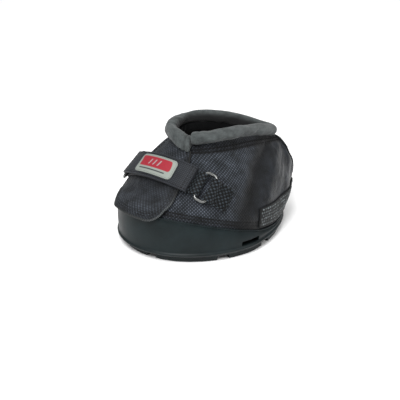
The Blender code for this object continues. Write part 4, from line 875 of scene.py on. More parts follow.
fuzz = add_node(tree, "ShaderNodeTexNoise", None, {"Vector": place, "Scale": 2.2, "Detail": 3.0})
surface = calculate(tree, "ADD", wales, fuzz.outputs["Fac"])
raised = add_node(tree, "ShaderNodeBump", None, {"Height": surface, "Strength": 0.35, "Distance": 0.0002})
tree.links.new(raised.outputs[0], shader.inputs["Normal"])
shader.inputs["Sheen Weight"].default_value = 0.12
shader.inputs["Sheen Roughness"].default_value = 0.6


def collar_frame(turns):
    """Middle line of the roll, with its outward and upward directions."""
    x, y, z = collar_edge(np.radians(turns))
    middle = np.stack([x, y, z + COLLAR_ROLL_RADIUS + GAP + COLLAR_LIFT], -1)
    run = unit(np.gradient(middle, axis=0))
    out = unit(np.cross(run, (0.0, 0.0, 1.0)))
    return middle, out, np.cross(out, run)


def running_lengths(points):
    """Length along a line of points, from its first one on."""
    return np.concatenate([[0.0], np.cumsum(np.linalg.norm(np.diff(points, axis=0), axis=1))])


def roll_piece(name, turns, radius, sag, sink, around):
    """A closed roll with rounded ends; `sag` hangs its low outer side and `sink` drops all of it."""
    middle, out, up = collar_frame(turns)
    middle = middle - np.multiply.outer(sink, (0.0, 0.0, 1.0))
    t = np.linspace(0.0, 2 * math.pi, around, endpoint=False)
    seam = 1.0 + 0.06 * np.exp(-(np.minimum(t, 2 * math.pi - t) / 0.35) ** 2)
    reach = radius[:, None] * seam
    fall = np.exp(-((t - 1.12) / 0.50) ** 2)
    side = reach * np.sin(t) + sag[0][:, None] * fall
    rise = -reach * np.cos(t) - sag[1][:, None] * fall
    points = middle[:, None] + out[:, None] * side[..., None] + up[:, None] * rise[..., None]
    lengths = running_lengths(middle)
    u = np.repeat(lengths[:, None], around, axis=1)
    v = np.repeat(np.minimum(t, 2 * math.pi - t)[None] * COLLAR_ROLL_RADIUS, len(turns), axis=0)
    uv = np.stack([u, v], -1).reshape(-1, 2) * 1000.0
    faces = ring_faces(len(turns), around)
    faces += [tuple(range(around)), tuple(range(len(faces), len(faces) + around))]
    piece = make_piece(name, points.reshape(-1, 3), faces, collar_knit, uv, crisp=80.0)
    dark = ease((t - 3.45) / 1.2) * ease((6.2 - t) / 0.2)
    point_values(piece, "inner_side", np.tile(dark, len(turns)))
    return piece


def puff(piece, pinned, pressure, cap):
    """Blows a pad out from inside while its seam is held, and limits how far any point moves."""
    count = len(piece.data.vertices)
    start = np.zeros(count * 3)
    piece.data.vertices.foreach_get("co", start)
    seam = piece.vertex_groups.new(name="seam")
    seam.add([int(i) for i in pinned], 1.0, "REPLACE")
    cloth = piece.modifiers.new("cloth", "CLOTH")
    cloth.settings.quality = 8
    cloth.settings.mass = 0.05
    cloth.settings.tension_stiffness = 30.0
    cloth.settings.compression_stiffness = 8.0
    cloth.settings.bending_stiffness = 0.4
    cloth.settings.use_pressure = True
    cloth.settings.uniform_pressure_force = pressure
    cloth.settings.shrink_min = -0.05
    cloth.settings.vertex_group_mass = "seam"
    cloth.settings.effector_weights.gravity = 0.0
    scene = bpy.context.scene
    for number in range(1, 21):
        scene.frame_set(number)
    moved = np.zeros(count * 3)
    piece.evaluated_get(bpy.context.evaluated_depsgraph_get()).data.vertices.foreach_get("co", moved)
    shift = (moved - start).reshape(-1, 3)
    size = np.linalg.norm(shift, axis=1, keepdims=True)
    shift *= np.minimum(1.0, cap / np.maximum(size, 1e-9))
    piece.modifiers.clear()
    piece.vertex_groups.clear()
    scene.frame_set(1)
    piece.data.vertices.foreach_set("co", (start.reshape(-1, 3) + shift).ravel())
    piece.data.update()


def smooth_once(piece):
    step = piece.modifiers.new("smooth", "SUBSURF")
    step.levels = step.render_levels = 1
    plain_copy(piece)


def end_radius(lengths, rounding, radius):
    """Radius along a roll whose two ends are rounded over a short way."""
    near = np.minimum(lengths, lengths[-1] - lengths)
    into = np.clip(1.0 - near / rounding, 0.0, 1.0)
    return radius * (0.70 + 0.30 * np.sqrt(1.0 - into ** 2))


half_gap = math.degrees(GAP / (COLLAR_WIDTH / 2))
around = 32
for name, start, end, count in (
        ("collar_back", COLLAR_SPLIT_ANGLE + half_gap, 360.0 + FLAP_HINGE_ANGLE - FLAP_ROOT_STEP, 110),
        ("collar_front", FLAP_HINGE_ANGLE + FLAP_ROOT_STEP, COLLAR_SPLIT_ANGLE - half_gap, 84)):
    ends = (end - start) * np.array([0.0, 0.0018, 0.0045, 0.0085])
    turns = np.concatenate([start + ends, np.linspace(start, end, count)[2:-2], end - ends[::-1]])
    lengths = running_lengths(collar_frame(turns)[0])
    radius = end_radius(lengths, END_ROUNDING, COLLAR_ROLL_RADIUS - COLLAR_SLACK)
    sag, sink = np.zeros((2, len(turns))), np.zeros(len(turns))
    if name == "collar_front":
        to_end = lengths[-1] - lengths
        pleat = 0.20 * np.exp(-((to_end - 0.0034) / 0.0008) ** 2)
        pleat += 0.08 * np.exp(-((to_end - 0.0066) / 0.0007) ** 2)
        radius = radius * (1.0 - pleat)
        droop = np.clip((turns + 24.0) / 60.0, 0.0, 1.0) ** 1.4
        sag = np.array(FRONT_SAG)[:, None] * droop
        sink = FRONT_SINK * ease((turns - 2.0) / 32.0)
    roll = roll_piece(name + "_roll", turns, radius, sag, sink, around)
    rows = np.arange(len(turns) * around).reshape(-1, around)
    held = np.concatenate([rows[:, :2].ravel(), rows[:, -1], rows[:5].ravel(), rows[-7:].ravel()])
    puff(roll, np.unique(held), PRESSURE, COLLAR_CAP)
    smooth_once(roll)
    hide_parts(name)
    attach(roll, "boot" if name == "collar_back" else "outer_flap")

# Outer flap: the front tongue cover, of the same cloth, sewn along its far side and free on the
# near side. It's lined with knit, hemmed with two rows of thread, and bound with a grey tape.
# It hangs just outside the cup's lip at the toe.
FLAP_TOP = 1.06
FLAP_BOTTOM = -0.10
FLAP_FABRIC = 0.0013
FLAP_LINING = 0.0007
FLAP_STANDS = {"far": 0.0006, "near": 0.0029, "low": 0.0052}
FLAP_FLARE = (0.24, 20.0)
FLAP_GATHER = {"stand": 0.0015, "from": 0.95, "to": 1.05}
FLAP_ROOT_BOTTOM = 0.045
FLAP_DROP = (13.0, 14.0)
FLAP_CORNER = 0.0110
FLAP_EDGE_SHARES = ((-0.1, 32.5), (0.05, 33.0), (0.2, 35.0), (0.4, 35.5), (0.6, 37.5), (0.85, 39.0),
                    (1.0, 36.5))
FLAP_HINGE_STAND = 0.0016
FLAP_HINGE_CLEARANCE = 0.0005
HINGE_CLOTH = 3.8
BINDING_RADIUS = 0.0009
TAPE = 0.0006
HEM_INSETS = (0.0030, 0.0052)
HEM_STITCH = (0.0029, (0.0022, 0.0007, 0.0005))


def flap_share(angle):
    return np.clip((np.degrees(angle) - FLAP_HINGE_ANGLE) / (COLLAR_SPLIT_ANGLE - FLAP_HINGE_ANGLE), 0.0, 1.0)


def flap_stand(angle, rise):
    """How far the flap's outer face stands off the upper's face; its far top turns out into the roll."""
    plain = mix(FLAP_STANDS["far"], FLAP_STANDS["near"], flap_share(angle))
    gathered = ease((rise - FLAP_GATHER["from"]) / (FLAP_GATHER["to"] - FLAP_GATHER["from"]))
    plain = plain + FLAP_GATHER["stand"] * gathered * (1.0 - flap_share(angle))
    flare = ease((FLAP_FLARE[0] - rise) / FLAP_FLARE[0])
    freed = ease((np.degrees(angle) - FLAP_HINGE_ANGLE - FLAP_ROOT_STEP) / FLAP_FLARE[1])
    return mix(plain, FLAP_STANDS["low"], flare * freed)


def flap_bottom(angle):
    freed = ease((np.degrees(angle) - FLAP_HINGE_ANGLE - FLAP_DROP[0]) / FLAP_DROP[1])
    return mix(FLAP_ROOT_BOTTOM, FLAP_BOTTOM, freed)


rises = np.linspace(FLAP_BOTTOM, FLAP_TOP, 20)
FLAP_LENGTH = float(running_lengths(upper_face(0 * rises, rises))[-1])


def flap_grid(down, across, inset=0.0):
    """Angles and rises over the flap, with its lower free corner rounded."""
    edge = inset / FLAP_LENGTH
    down = edge + down * (1.0 - 2 * edge)
    rise = mix(FLAP_TOP, FLAP_BOTTOM, down)
    into = np.clip(1.0 - (1.0 - edge - down) * FLAP_LENGTH / FLAP_CORNER, 0.0, 1.0)
    trim = FLAP_CORNER * (1.0 - np.sqrt(1.0 - into ** 2)) + inset
    radius = np.linalg.norm(upper_face(0.0 * rise, rise)[:, :2], axis=1)
    near = read_shares(FLAP_EDGE_SHARES, 1, rise) - np.degrees(trim / radius)
    far = FLAP_HINGE_ANGLE + FLAP_ROOT_STEP + 0 * near
    angle = np.radians(far[:, None] + (near - far)[:, None] * across)
    return angle, mix(FLAP_TOP, flap_bottom(angle), down[:, None])


def flap_hinge():
    """A low and a high point of the line that the outer flap turns about."""
    angle = math.radians(FLAP_HINGE_ANGLE)
    x, y, z = collar_edge(angle)
    run = np.array(collar_edge(angle + NORMAL_STEP)) - np.array(collar_edge(angle - NORMAL_STEP))
    away = unit(np.array([run[1], -run[0], 0.0]))
    middle = np.array([x, y, z + COLLAR_ROLL_RADIUS + GAP])
    high = middle + away * (COLLAR_ROLL_RADIUS + FLAP_HINGE_CLEARANCE)
    return skin(angle, FLAP_ROOT_BOTTOM, FLAP_HINGE_STAND), high


def flap_waves(angle, rise):
    """Slight unevenness of the hanging cloth, nothing under the strap or by the hinge."""
    free = ease((np.degrees(angle) + 24.0) / 20.0) * ease((0.34 - rise) / 0.2)
    return free * (0.0004 * np.sin(angle * 9.0 + 1.0) - 0.0003 * np.cos(angle * 17.0 + rise * 6.0))


down, full_rows = edge_rows(56, FLAP_LENGTH, FLAP_FABRIC)
across, full_columns = edge_rows(64, 0.09, FLAP_FABRIC, both=False)
across, full_columns = 1.0 - across[::-1], full_columns[::-1]
angle, rise = flap_grid(down, across)
root = FLAP_HINGE_ANGLE + FLAP_ROOT_STEP
back = np.radians(np.linspace(root - HINGE_CLOTH, root, 8))[:-1]
angle = np.concatenate([np.repeat(back[None], len(down), axis=0), angle], axis=1)
rise = np.concatenate([np.repeat(rise[:, :1], len(back), axis=1), rise], axis=1)
full = np.minimum.outer(full_rows, np.concatenate([[0.0, 0.7], np.ones(len(back) - 2), full_columns]))
hem = ease((root - np.degrees(angle)) / 1.6)
top = mix(flap_stand(angle, rise) + flap_waves(angle, rise), 0.0010, hem)
under = top - mix(FLAP_FABRIC, 0.0007, hem)
cloth_flap = slab("outer_flap_cloth", skin(angle, rise, under), skin(angle, rise, top), pack_cloth, full, 30)
hem_shade = np.exp(-((down[:, None] - 1.0) / 0.05) ** 2) + np.exp(-((np.degrees(angle) - 36.0) / 2.6) ** 2)
# Painted shade on the flap: a band just under the strap, and along the hem and the near edge.
set_weave_and_shade(cloth_flap, 0.30 + 0.45 * ease((rise - 0.48) / 0.12) + 0.35 * ease((0.18 - rise) / 0.15),
          0.45 * np.exp(-((rise - 0.42) / 0.09) ** 2) + 0.45 * hem_shade)
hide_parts("outer_flap")
low, high = flap_hinge()
middle, axis = (low + high) / 2, unit(high - low)
hinge = math.radians(FLAP_HINGE_ANGLE)
run = skin(hinge + 0.02, 0.5, 0.0) - skin(hinge - 0.02, 0.5, 0.0)
run = unit(run - axis * (run @ axis)) * FLAP_HINGE_STAND
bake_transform(cloth_flap)

down, full_rows = edge_rows(40, FLAP_LENGTH, FLAP_LINING)
across, full_columns = edge_rows(40, 0.08, FLAP_LINING)
angle, rise = flap_grid(down, across, 2 * BINDING_RADIUS)
top = flap_stand(angle, rise) + flap_waves(angle, rise) - FLAP_FABRIC - GAP
knit_flap = slab("flap_lining_knit", skin(angle, rise, top - FLAP_LINING), skin(angle, rise, top),
                 brushed_knit, np.minimum.outer(full_rows, full_columns))
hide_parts("flap_lining")
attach(knit_flap, "outer_flap")


def flap_edge(inset, count=60):
    """Angles and rises along the flap's free side and round to its bottom."""
    angle, rise = flap_grid(np.linspace(0.0, 1.0, count), np.linspace(0.0, 1.0, count), inset)
    side = [(angle[r, -1], rise[r, -1]) for r in range(count // 8, count - 1)]
    bottom = [(angle[-1, c], rise[-1, c]) for c in range(count - 1, count // 10, -1)]
    return np.array(side + bottom)


def round_bar(name, points, radius, material, closed=False, sides=6):
    """A smooth round bar along points, made into a mesh."""
    curve = bpy.data.curves.new(name, "CURVE")
    curve.dimensions, curve.bevel_depth, curve.bevel_resolution = "3D", radius, sides
    curve.use_fill_caps = not closed
    spline = curve.splines.new("POLY")
    spline.points.add(len(points) - 1)
    for point, target in zip(spline.points, points):
        point.co = (*target, 1.0)
    spline.use_cyclic_u = closed
    spline.use_smooth = True
    curve.materials.append(material)
    bar = bpy.data.objects.new(name, curve)
    bpy.context.scene.collection.objects.link(bar)
    depsgraph = bpy.context.evaluated_depsgraph_get()
    mesh = bpy.data.meshes.new_from_object(bar.evaluated_get(depsgraph))
    bpy.data.objects.remove(bar, do_unlink=True)
    mesh.shade_smooth()
    piece = bpy.data.objects.new(name, mesh)
    bpy.context.scene.collection.objects.link(piece)
    return piece


grey_binding, tree, shader = new_finish("grey ribbed binding tape", "7E8384", 0.7, 0.3)
place = add_node(tree, "ShaderNodeTexCoord").outputs["Object"]
ribs = add_node(tree, "ShaderNodeTexWave", {"wave_type": "BANDS", "bands_direction": "DIAGONAL"},
                {"Vector": place, "Scale": 260.0, "Distortion": 1.5, "Detail": 1.0})
tone = add_node(tree, "ShaderNodeMix", {"data_type": "RGBA"},
                {0: ribs.outputs["Fac"], 6: linear("1B1E1F"), 7: linear("45494A")})
parts = add_node(tree, "ShaderNodeSeparateXYZ", None, {0: place})
# Painted light on the tape: painted shade high up, where it runs under the strap and the collar, and a
# painted highlight towards the near side, where the light falls.
painted_shade_high = add_node(tree, "ShaderNodeMapRange", {"interpolation_type": "SMOOTHSTEP"},
                  {"Value": parts.outputs["Z"], "From Min": 0.050, "From Max": 0.062,
                   "To Min": 1.0, "To Max": 0.15})
scuff_and_lit_side = add_node(tree, "ShaderNodeMapRange", {"interpolation_type": "SMOOTHSTEP"},
                   {"Value": parts.outputs["X"], "From Min": 0.022, "From Max": 0.042,
                    "To Min": 0.35, "To Max": 1.0})
wear_and_painted_light = calculate(tree, "MULTIPLY", painted_shade_high.outputs[0], scuff_and_lit_side.outputs[0])
binding_painted_light = add_node(tree, "ShaderNodeVectorMath", {"operation": "SCALE"}, {0: tone.outputs[2], "Scale": wear_and_painted_light})
tree.links.new(binding_painted_light.outputs[0], shader.inputs["Base Color"])
raised = add_node(tree, "ShaderNodeBump", None,
                  {"Height": ribs.outputs["Fac"], "Strength": 0.4, "Distance": 0.0002})
tree.links.new(raised.outputs[0], shader.inputs["Normal"])
path = flap_edge(-BINDING_RADIUS * 0.6, 90)
stand = flap_stand(path[:, 0], path[:, 1]) + flap_waves(path[:, 0], path[:, 1]) - FLAP_FABRIC / 2
binding = round_bar("flap_binding_tape", skin(path[:, 0], path[:, 1], stand), BINDING_RADIUS, grey_binding)
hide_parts("flap_binding")
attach(binding, "outer_flap")
rows = []
for inset in HEM_INSETS:
    path = flap_edge(inset, 90)
    path = path[path[:, 1] < 0.90]
    height = flap_stand(path[:, 0], path[:, 1]) + flap_waves(path[:, 0], path[:, 1])
    rows.append((skin(path[:, 0], path[:, 1], height), outward(path[:, 0], path[:, 1])))
grain_rows("flap_hem_stitches", rows, *HEM_STITCH, dark_thread, "outer_flap")
rows = []
for turn in (FLAP_HINGE_ANGLE + 3.4, FLAP_HINGE_ANGLE + 5.4):
    rises = np.linspace(0.08, 0.93, 60)
    rows.append(surface_row(np.full(60, math.radians(turn)), rises, flap_stand, 200))
grain_rows("flap_root_stitches", rows, *HEM_STITCH, dark_thread, "outer_flap")

# Inner flap: a second layer of the cloth under the outer one, sewn to the near quarter.
# A hook patch on the outer flap's lining grips a loop patch on its face.
INNER_FLAP = {"hinge": 31.0, "end": -4.0, "top": 0.94, "bottom": 0.05}
PATCH = {"start": 4.0, "end": 27.0, "low": 0.10, "high": 0.90}
pile_tape, tree, shader = new_finish("hook and loop tape", "131415", 0.95, 0.2)
place = read_uv(tree)
bristles = add_node(tree, "ShaderNodeTexVoronoi", None, {"Vector": place, "Scale": 1.4, "Randomness": 0.6})
tone = add_node(tree, "ShaderNodeMix", {"data_type": "RGBA"},
                {0: bristles.outputs["Distance"], 6: linear("2A2C2E"), 7: linear("0B0C0C")})
tree.links.new(tone.outputs[2], shader.inputs["Base Color"])
raised = add_node(tree, "ShaderNodeBump", {"invert": True},
                  {"Height": bristles.outputs["Distance"], "Strength": 0.9, "Distance": 0.0005})
tree.links.new(raised.outputs[0], shader.inputs["Normal"])
shader.inputs["Sheen Weight"].default_value = 0.25


def inner_flap_stand(angle):
    plain = mix(FLAP_STANDS["far"], FLAP_STANDS["near"], flap_share(angle))
    return plain - FLAP_FABRIC - FLAP_LINING - 2 * TAPE - 4 * GAP


across, full_columns = edge_rows(40, 0.045, FABRIC)
up, full_rows = edge_rows(40, 0.06, FABRIC)
angle, rise = np.meshgrid(np.radians(mix(INNER_FLAP["end"], INNER_FLAP["hinge"] - FLAP_ROOT_STEP, across)),
                          mix(INNER_FLAP["bottom"], INNER_FLAP["top"], up))
top = inner_flap_stand(angle)
inner_flap = slab("inner_flap_cloth", skin(angle, rise, top - FABRIC), skin(angle, rise, top), pack_cloth,
                  np.minimum.outer(full_rows, full_columns))
set_weave_and_shade(inner_flap, 1.0, 0.0)
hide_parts("inner_flap")
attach(inner_flap, "inner_flap")
across, full_columns = edge_rows(24, 0.03, TAPE)
up, full_rows = edge_rows(30, 0.055, TAPE)
angle, rise = np.meshgrid(np.radians(mix(PATCH["start"], PATCH["end"], across)),
                          mix(PATCH["low"], PATCH["high"], up))
full = np.minimum.outer(full_rows, full_columns)
top = flap_stand(angle, rise) + flap_waves(angle, rise) - FLAP_FABRIC - GAP - FLAP_LINING - GAP
hook_patch = slab("flap_hook_patch_tape", skin(angle, rise, top - TAPE), skin(angle, rise, top),
                  pile_tape, full)
top = inner_flap_stand(angle) + GAP + TAPE
loop_patch = slab("inner_flap_loop_tape", skin(angle, rise, top - TAPE), skin(angle, rise, top),
                  pile_tape, full)
for patch, node, body in ((hook_patch, "flap_hook_patch", "outer_flap"),
                          (loop_patch, "inner_flap_loop_patch", "inner_flap")):
    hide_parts(node)
    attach(patch, body)

# Toe strip: a gusset of the same cloth, tucked inside the cup's lip between the quarters.
# It rises under the outer flap's far side, closes the toe, and shows only from behind or unstrapped.
TOE_STRIP = {"start": -35.6, "end": 32.0, "low": 0.044, "high": 0.284, "step": (3.0, 5.0)}


def under_flap(angle, rise):
    """The toe strip's face: level with the quarters at the lip, then close under the flap's lining."""
    close = flap_stand(angle, rise) - FLAP_FABRIC - FLAP_LINING - 2 * GAP
    return np.minimum(close, 0.0) * ease(rise / 0.06)


shares, full = edge_rows(70, 0.09, FABRIC)
ups, full_rows = edge_rows(14, 0.02, FABRIC)
turns = mix(TOE_STRIP["start"], TOE_STRIP["end"], shares)
step_end, step_width = TOE_STRIP["step"]
tops = mix(TOE_STRIP["low"], TOE_STRIP["high"], ease((step_end - turns) / step_width))
outer, inner = tucked_cloth(np.radians(turns), np.multiply.outer(ups, tops), under_flap)
full = np.minimum.outer(np.concatenate([np.ones(16), full_rows[14:]]), full)
toe_strip = slab("toe_strip_cloth", inner, outer, pack_cloth, full)
# Painted shade darkens the strip a little all over, as it lies under the flap.
set_weave_and_shade(toe_strip, 1.0, 0.3)
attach(toe_strip, "boot")

# Rings: bent and welded nickel-plated steel wire, one on each side, each held by its rear bar.
STRAP_WIDTH = 0.0245
STRAP_THICKNESS = 0.0015
STRAP_PLANE_OFFSET = 0.0189
STRAP_SIDE_TILT = 0.25
STRAP_REAR_TILT = 0.925
STRAP_NEAR_ANGLE = 47.0
STRAP_NEAR_STAND = 0.0037
STRAP_LIFT = (30.0, 11.0)
RING_WIRE = 0.0028
RING_LENGTHS = {"near_ring": 0.0232, "far_ring": 0.0262}
RING_PITCH = 0.0105
RING_CORNER = 0.0034
RING_PLAY = 0.0004
NEAR_RING_ANGLE = 63.6
FAR_RING_ANGLE = -47.2
WEBBING_WIDTH = 0.0215
WEBBING_THICKNESS = 0.0012


def band_normal():
    return unit(np.array([-STRAP_SIDE_TILT, STRAP_REAR_TILT, 1.0]))


def middle_line(station, stand):
    """The strap's middle line at angles from the toe, found by halving the rise."""
    station = np.asarray(station, float)
    low, high = np.full(station.shape, -0.15), np.full(station.shape, 1.0)
    for _ in range(24):
        rise = (low + high) / 2
        short = skin(station, rise, stand(station, rise, station)) @ band_normal() < STRAP_PLANE_OFFSET
        low, high = np.where(short, rise, low), np.where(short, high, rise)
    return skin(station, rise, stand(station, rise, station)), rise


def at_stand(height):
    return lambda angle, rise, station: height + 0 * angle


def band(station, offset, stand):
    """Points across the strap, square to its middle line, found by Newton's method."""
    station, offset = np.asarray(station, float), np.asarray(offset, float)
    normal = band_normal()
    middle, rise = middle_line(station, stand)
    level = at_stand(stand(station, rise, station))
    run = middle_line(station + NORMAL_STEP, level)[0] - middle_line(station - NORMAL_STEP, level)[0]
    run = unit(run - (run @ normal)[..., None] * normal)
    shape = np.broadcast_shapes(station.shape, offset.shape)
    station, rise = np.broadcast_to(station, shape), np.broadcast_to(rise, shape)
    angle = station.copy()
    for _ in range(6):
        here = skin(angle, rise, stand(angle, rise, station))
        beside = skin(angle + NORMAL_STEP, rise, stand(angle + NORMAL_STEP, rise, station))
        above = skin(angle, rise + NORMAL_STEP, stand(angle, rise + NORMAL_STEP, station))
        by_angle, by_rise = (beside - here) / NORMAL_STEP, (above - here) / NORMAL_STEP
        miss_across = here @ normal - STRAP_PLANE_OFFSET - offset
        miss_along = ((here - middle) * run).sum(-1)
        a, b = by_angle @ normal, by_rise @ normal
        c, d = (by_angle * run).sum(-1), (by_rise * run).sum(-1)
        scale = a * d - b * c
        angle = angle - (miss_across * d - b * miss_along) / scale
        rise = rise - (a * miss_along - miss_across * c) / scale
    return skin(angle, rise, stand(angle, rise, station))


def station_at(start, distance, stand):
    """The angle that lies a distance along the strap from a starting angle."""
    distance = np.asarray(distance, float)
    turn = distance / TOE_REACH
    origin = middle_line(float(start), stand)[0]
    for _ in range(6):
        turn = turn * abs(distance) / np.linalg.norm(middle_line(start + turn, stand)[0] - origin, axis=-1)
    return start + turn


def strap_low(angle, rise, station):
    """Under face of the strap: on the flap, then over the webbing's legs by the near ring."""
    lifted = ease((np.degrees(station) - STRAP_LIFT[0]) / STRAP_LIFT[1])
    return mix(flap_stand(angle, rise) + 2 * GAP, STRAP_NEAR_STAND, lifted)


WEBBING_LEG_STAND = 2 * GAP + WEBBING_THICKNESS / 2
WEBBING_BAR_STAND = WEBBING_LEG_STAND + WEBBING_THICKNESS / 2 + RING_PLAY + RING_WIRE / 2
FAR_BAR_ANGLE = math.radians(FAR_RING_ANGLE) + RING_PITCH / TOE_REACH
far_rise = middle_line(FAR_BAR_ANGLE, strap_low)[1]
far_stand = float(strap_low(FAR_BAR_ANGLE, far_rise, FAR_BAR_ANGLE))
FOLD_BAR_STAND = far_stand + STRAP_THICKNESS + RING_PLAY + RING_WIRE / 2


def bar_line(angle, stand):
    points = band(angle, np.linspace(-WEBBING_WIDTH / 2, WEBBING_WIDTH / 2, 5), at_stand(stand))
    return points.mean(axis=0), unit(points[-1] - points[0])


def ring_frame(rear_angle, direction, front_stand):
    """A ring's rear and front bars, with the directions forward, across and outward."""
    rear_angle = math.radians(rear_angle)
    rear, rear_line = bar_line(rear_angle, WEBBING_BAR_STAND)
    turn = direction * RING_PITCH / TOE_REACH
    for _ in range(6):
        front, front_line = bar_line(rear_angle + turn, front_stand)
        turn = turn * RING_PITCH / np.linalg.norm(front - rear)
    forward, across = unit(front - rear), rear_line + front_line
    across = unit(across - forward * (across @ forward))
    return {"rear": rear, "front": front, "forward": forward, "across": across,
            "out": np.cross(forward, across) * direction,
            "rear_angle": float(rear_angle), "front_angle": float(rear_angle + turn)}


RINGS = {"near_ring": ring_frame(NEAR_RING_ANGLE, -1, WEBBING_BAR_STAND),
         "far_ring": ring_frame(FAR_RING_ANGLE, 1, FOLD_BAR_STAND)}
# Nickel plate: bright, with faint drawing marks and a slightly duller bloom here and there.
plated_wire, tree, shader = new_finish("nickel-plated steel wire", "6E6F6E", 0.2, 0.5, 1.0)
place = add_node(tree, "ShaderNodeTexCoord").outputs["Object"]
bloom = add_node(tree, "ShaderNodeTexNoise", None, {"Vector": place, "Scale": 260.0, "Detail": 4.0})
rough = add_node(tree, "ShaderNodeMapRange", None,
                 {"Value": bloom.outputs["Fac"], "From Min": 0.3, "From Max": 0.7,
                  "To Min": 0.20, "To Max": 0.38})
tree.links.new(rough.outputs["Result"], shader.inputs["Roughness"])
marks = add_node(tree, "ShaderNodeBump", None,
                 {"Height": bloom.outputs["Fac"], "Strength": 0.15, "Distance": 0.0001})
tree.links.new(marks.outputs["Normal"], shader.inputs["Normal"])
for name, ring in RINGS.items():
    middle = (ring["rear"] + ring["front"]) / 2
    half_along, half_across = RING_PITCH / 2 - RING_CORNER, (RING_LENGTHS[name] + RING_WIRE) / 2 - RING_CORNER
    points = []
    for quarter, (sx, sy) in enumerate(((1, 1), (-1, 1), (-1, -1), (1, -1))):
        for turn in np.radians(np.linspace(90.0 * quarter, 90.0 * quarter + 90.0, 13)):
            points.append(middle + ring["forward"] * (sx * half_along + RING_CORNER * math.cos(turn))
                          + ring["across"] * (sy * half_across + RING_CORNER * math.sin(turn)))
    wire = round_bar(name + "_wire", points, RING_WIRE / 2 - RING_PLAY / 2, plated_wire, closed=True, sides=7)
    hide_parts(name)
    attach(wire, name)

# Webbing: heavy ribbed nylon tape, folded round a bar of each ring. The anchors are box stitched
# to the quarters; the strap loop's legs are sewn under the strap's near end.
WEBBING = {"hold": 0.0020, "settle": 0.0062, "leg_start": 0.0012, "leg_gap": 0.0003, "shorter": 0.0008}
WEBBING_LENGTHS = {"near_anchor": ("near_ring", "rear", 0.0200), "far_anchor": ("far_ring", "rear", 0.0118),
                   "strap_loop": ("near_ring", "front", 0.0104)}
BOX_STITCH = (0.0026, (0.0021, 0.0008, 0.0006))
BOX = {"start": 0.0072, "end": 0.0022, "side": 0.0026}
# Each cord of the weave is 2 mm wide, which is coarse for such webbing, so that it reads from afar.
heavy_webbing, tree, shader = new_finish("heavy nylon webbing", "101213", 0.6, 0.12)
place = read_uv(tree)
cords = plain_weave(tree, place, 2.0, 0.0, 0.2)
# Painted light: the cords' crowns are lightened as a painted highlight and the hollows between them darkened
# as painted shade.
lit = add_node(tree, "ShaderNodeMapRange", None,
               {"Value": cords, "From Min": 0.15, "From Max": 0.95, "To Min": 0.03, "To Max": 5.2})
drift = add_node(tree, "ShaderNodeTexNoise", None, {"Vector": place, "Scale": 0.5, "Detail": 3.0})
tone = add_node(tree, "ShaderNodeMix", {"data_type": "RGBA"},
                {0: drift.outputs["Fac"], 6: linear("0A0D0F"), 7: linear("15191C")})
shaded = add_node(tree, "ShaderNodeVectorMath", {"operation": "SCALE"},
                  {0: tone.outputs[2], "Scale": lit.outputs[0]})
tree.links.new(shaded.outputs[0], shader.inputs["Base Color"])
raised = add_node(tree, "ShaderNodeBump", None, {"Height": cords, "Strength": 0.9, "Distance": 0.0006})
tree.links.new(raised.outputs[0], shader.inputs["Normal"])
shader.inputs["Sheen Weight"].default_value = 0.05


def band_leg(ring, bar, offset, reach, hold, settle, stand):
    """Points of one leg of a fold, and how strongly the straight bar pulls each of them."""
    start = ring[bar + "_angle"]
    direction = 1 if (ring["front_angle"] > ring["rear_angle"]) == (bar == "front") else -1
    stations = station_at(start, direction * np.asarray(reach), stand)
    return {"root": band(start, offset, stand), "points": band(stations[:, None], offset, stand),
            "pull": 1.0 - ease((np.asarray(reach) - hold) / (settle - hold))}


def folded_grid(ring, bar, radius, offsets, low_leg, high_leg, count=17):
    """Middle points of a folded strip: along the lower leg, round the bar and back."""
    centre = ring[bar] + ring["across"] * offsets[:, None]
    away = ring["forward"] * (1 if bar == "front" else -1)
    turns = np.linspace(-math.pi / 2, -3 * math.pi / 2, count)[:, None, None]
    arc = centre + away * radius * np.cos(turns) + ring["out"] * radius * np.sin(turns)
    legs = [leg["points"] + (end - leg["root"]) * leg["pull"][:, None, None]
            for leg, end in ((low_leg, arc[0]), (high_leg, arc[-1]))]
    return np.concatenate([legs[0], arc, legs[1]])


def strip(name, middle, thickness, material, full):
    """A folded strip of even thickness about its middle surface."""
    side = unit(np.cross(np.gradient(middle, axis=0), np.gradient(middle, axis=1)))
    return slab(name, middle - side * thickness / 2, middle + side * thickness / 2, material, full,
                middle.shape[1] // 2)


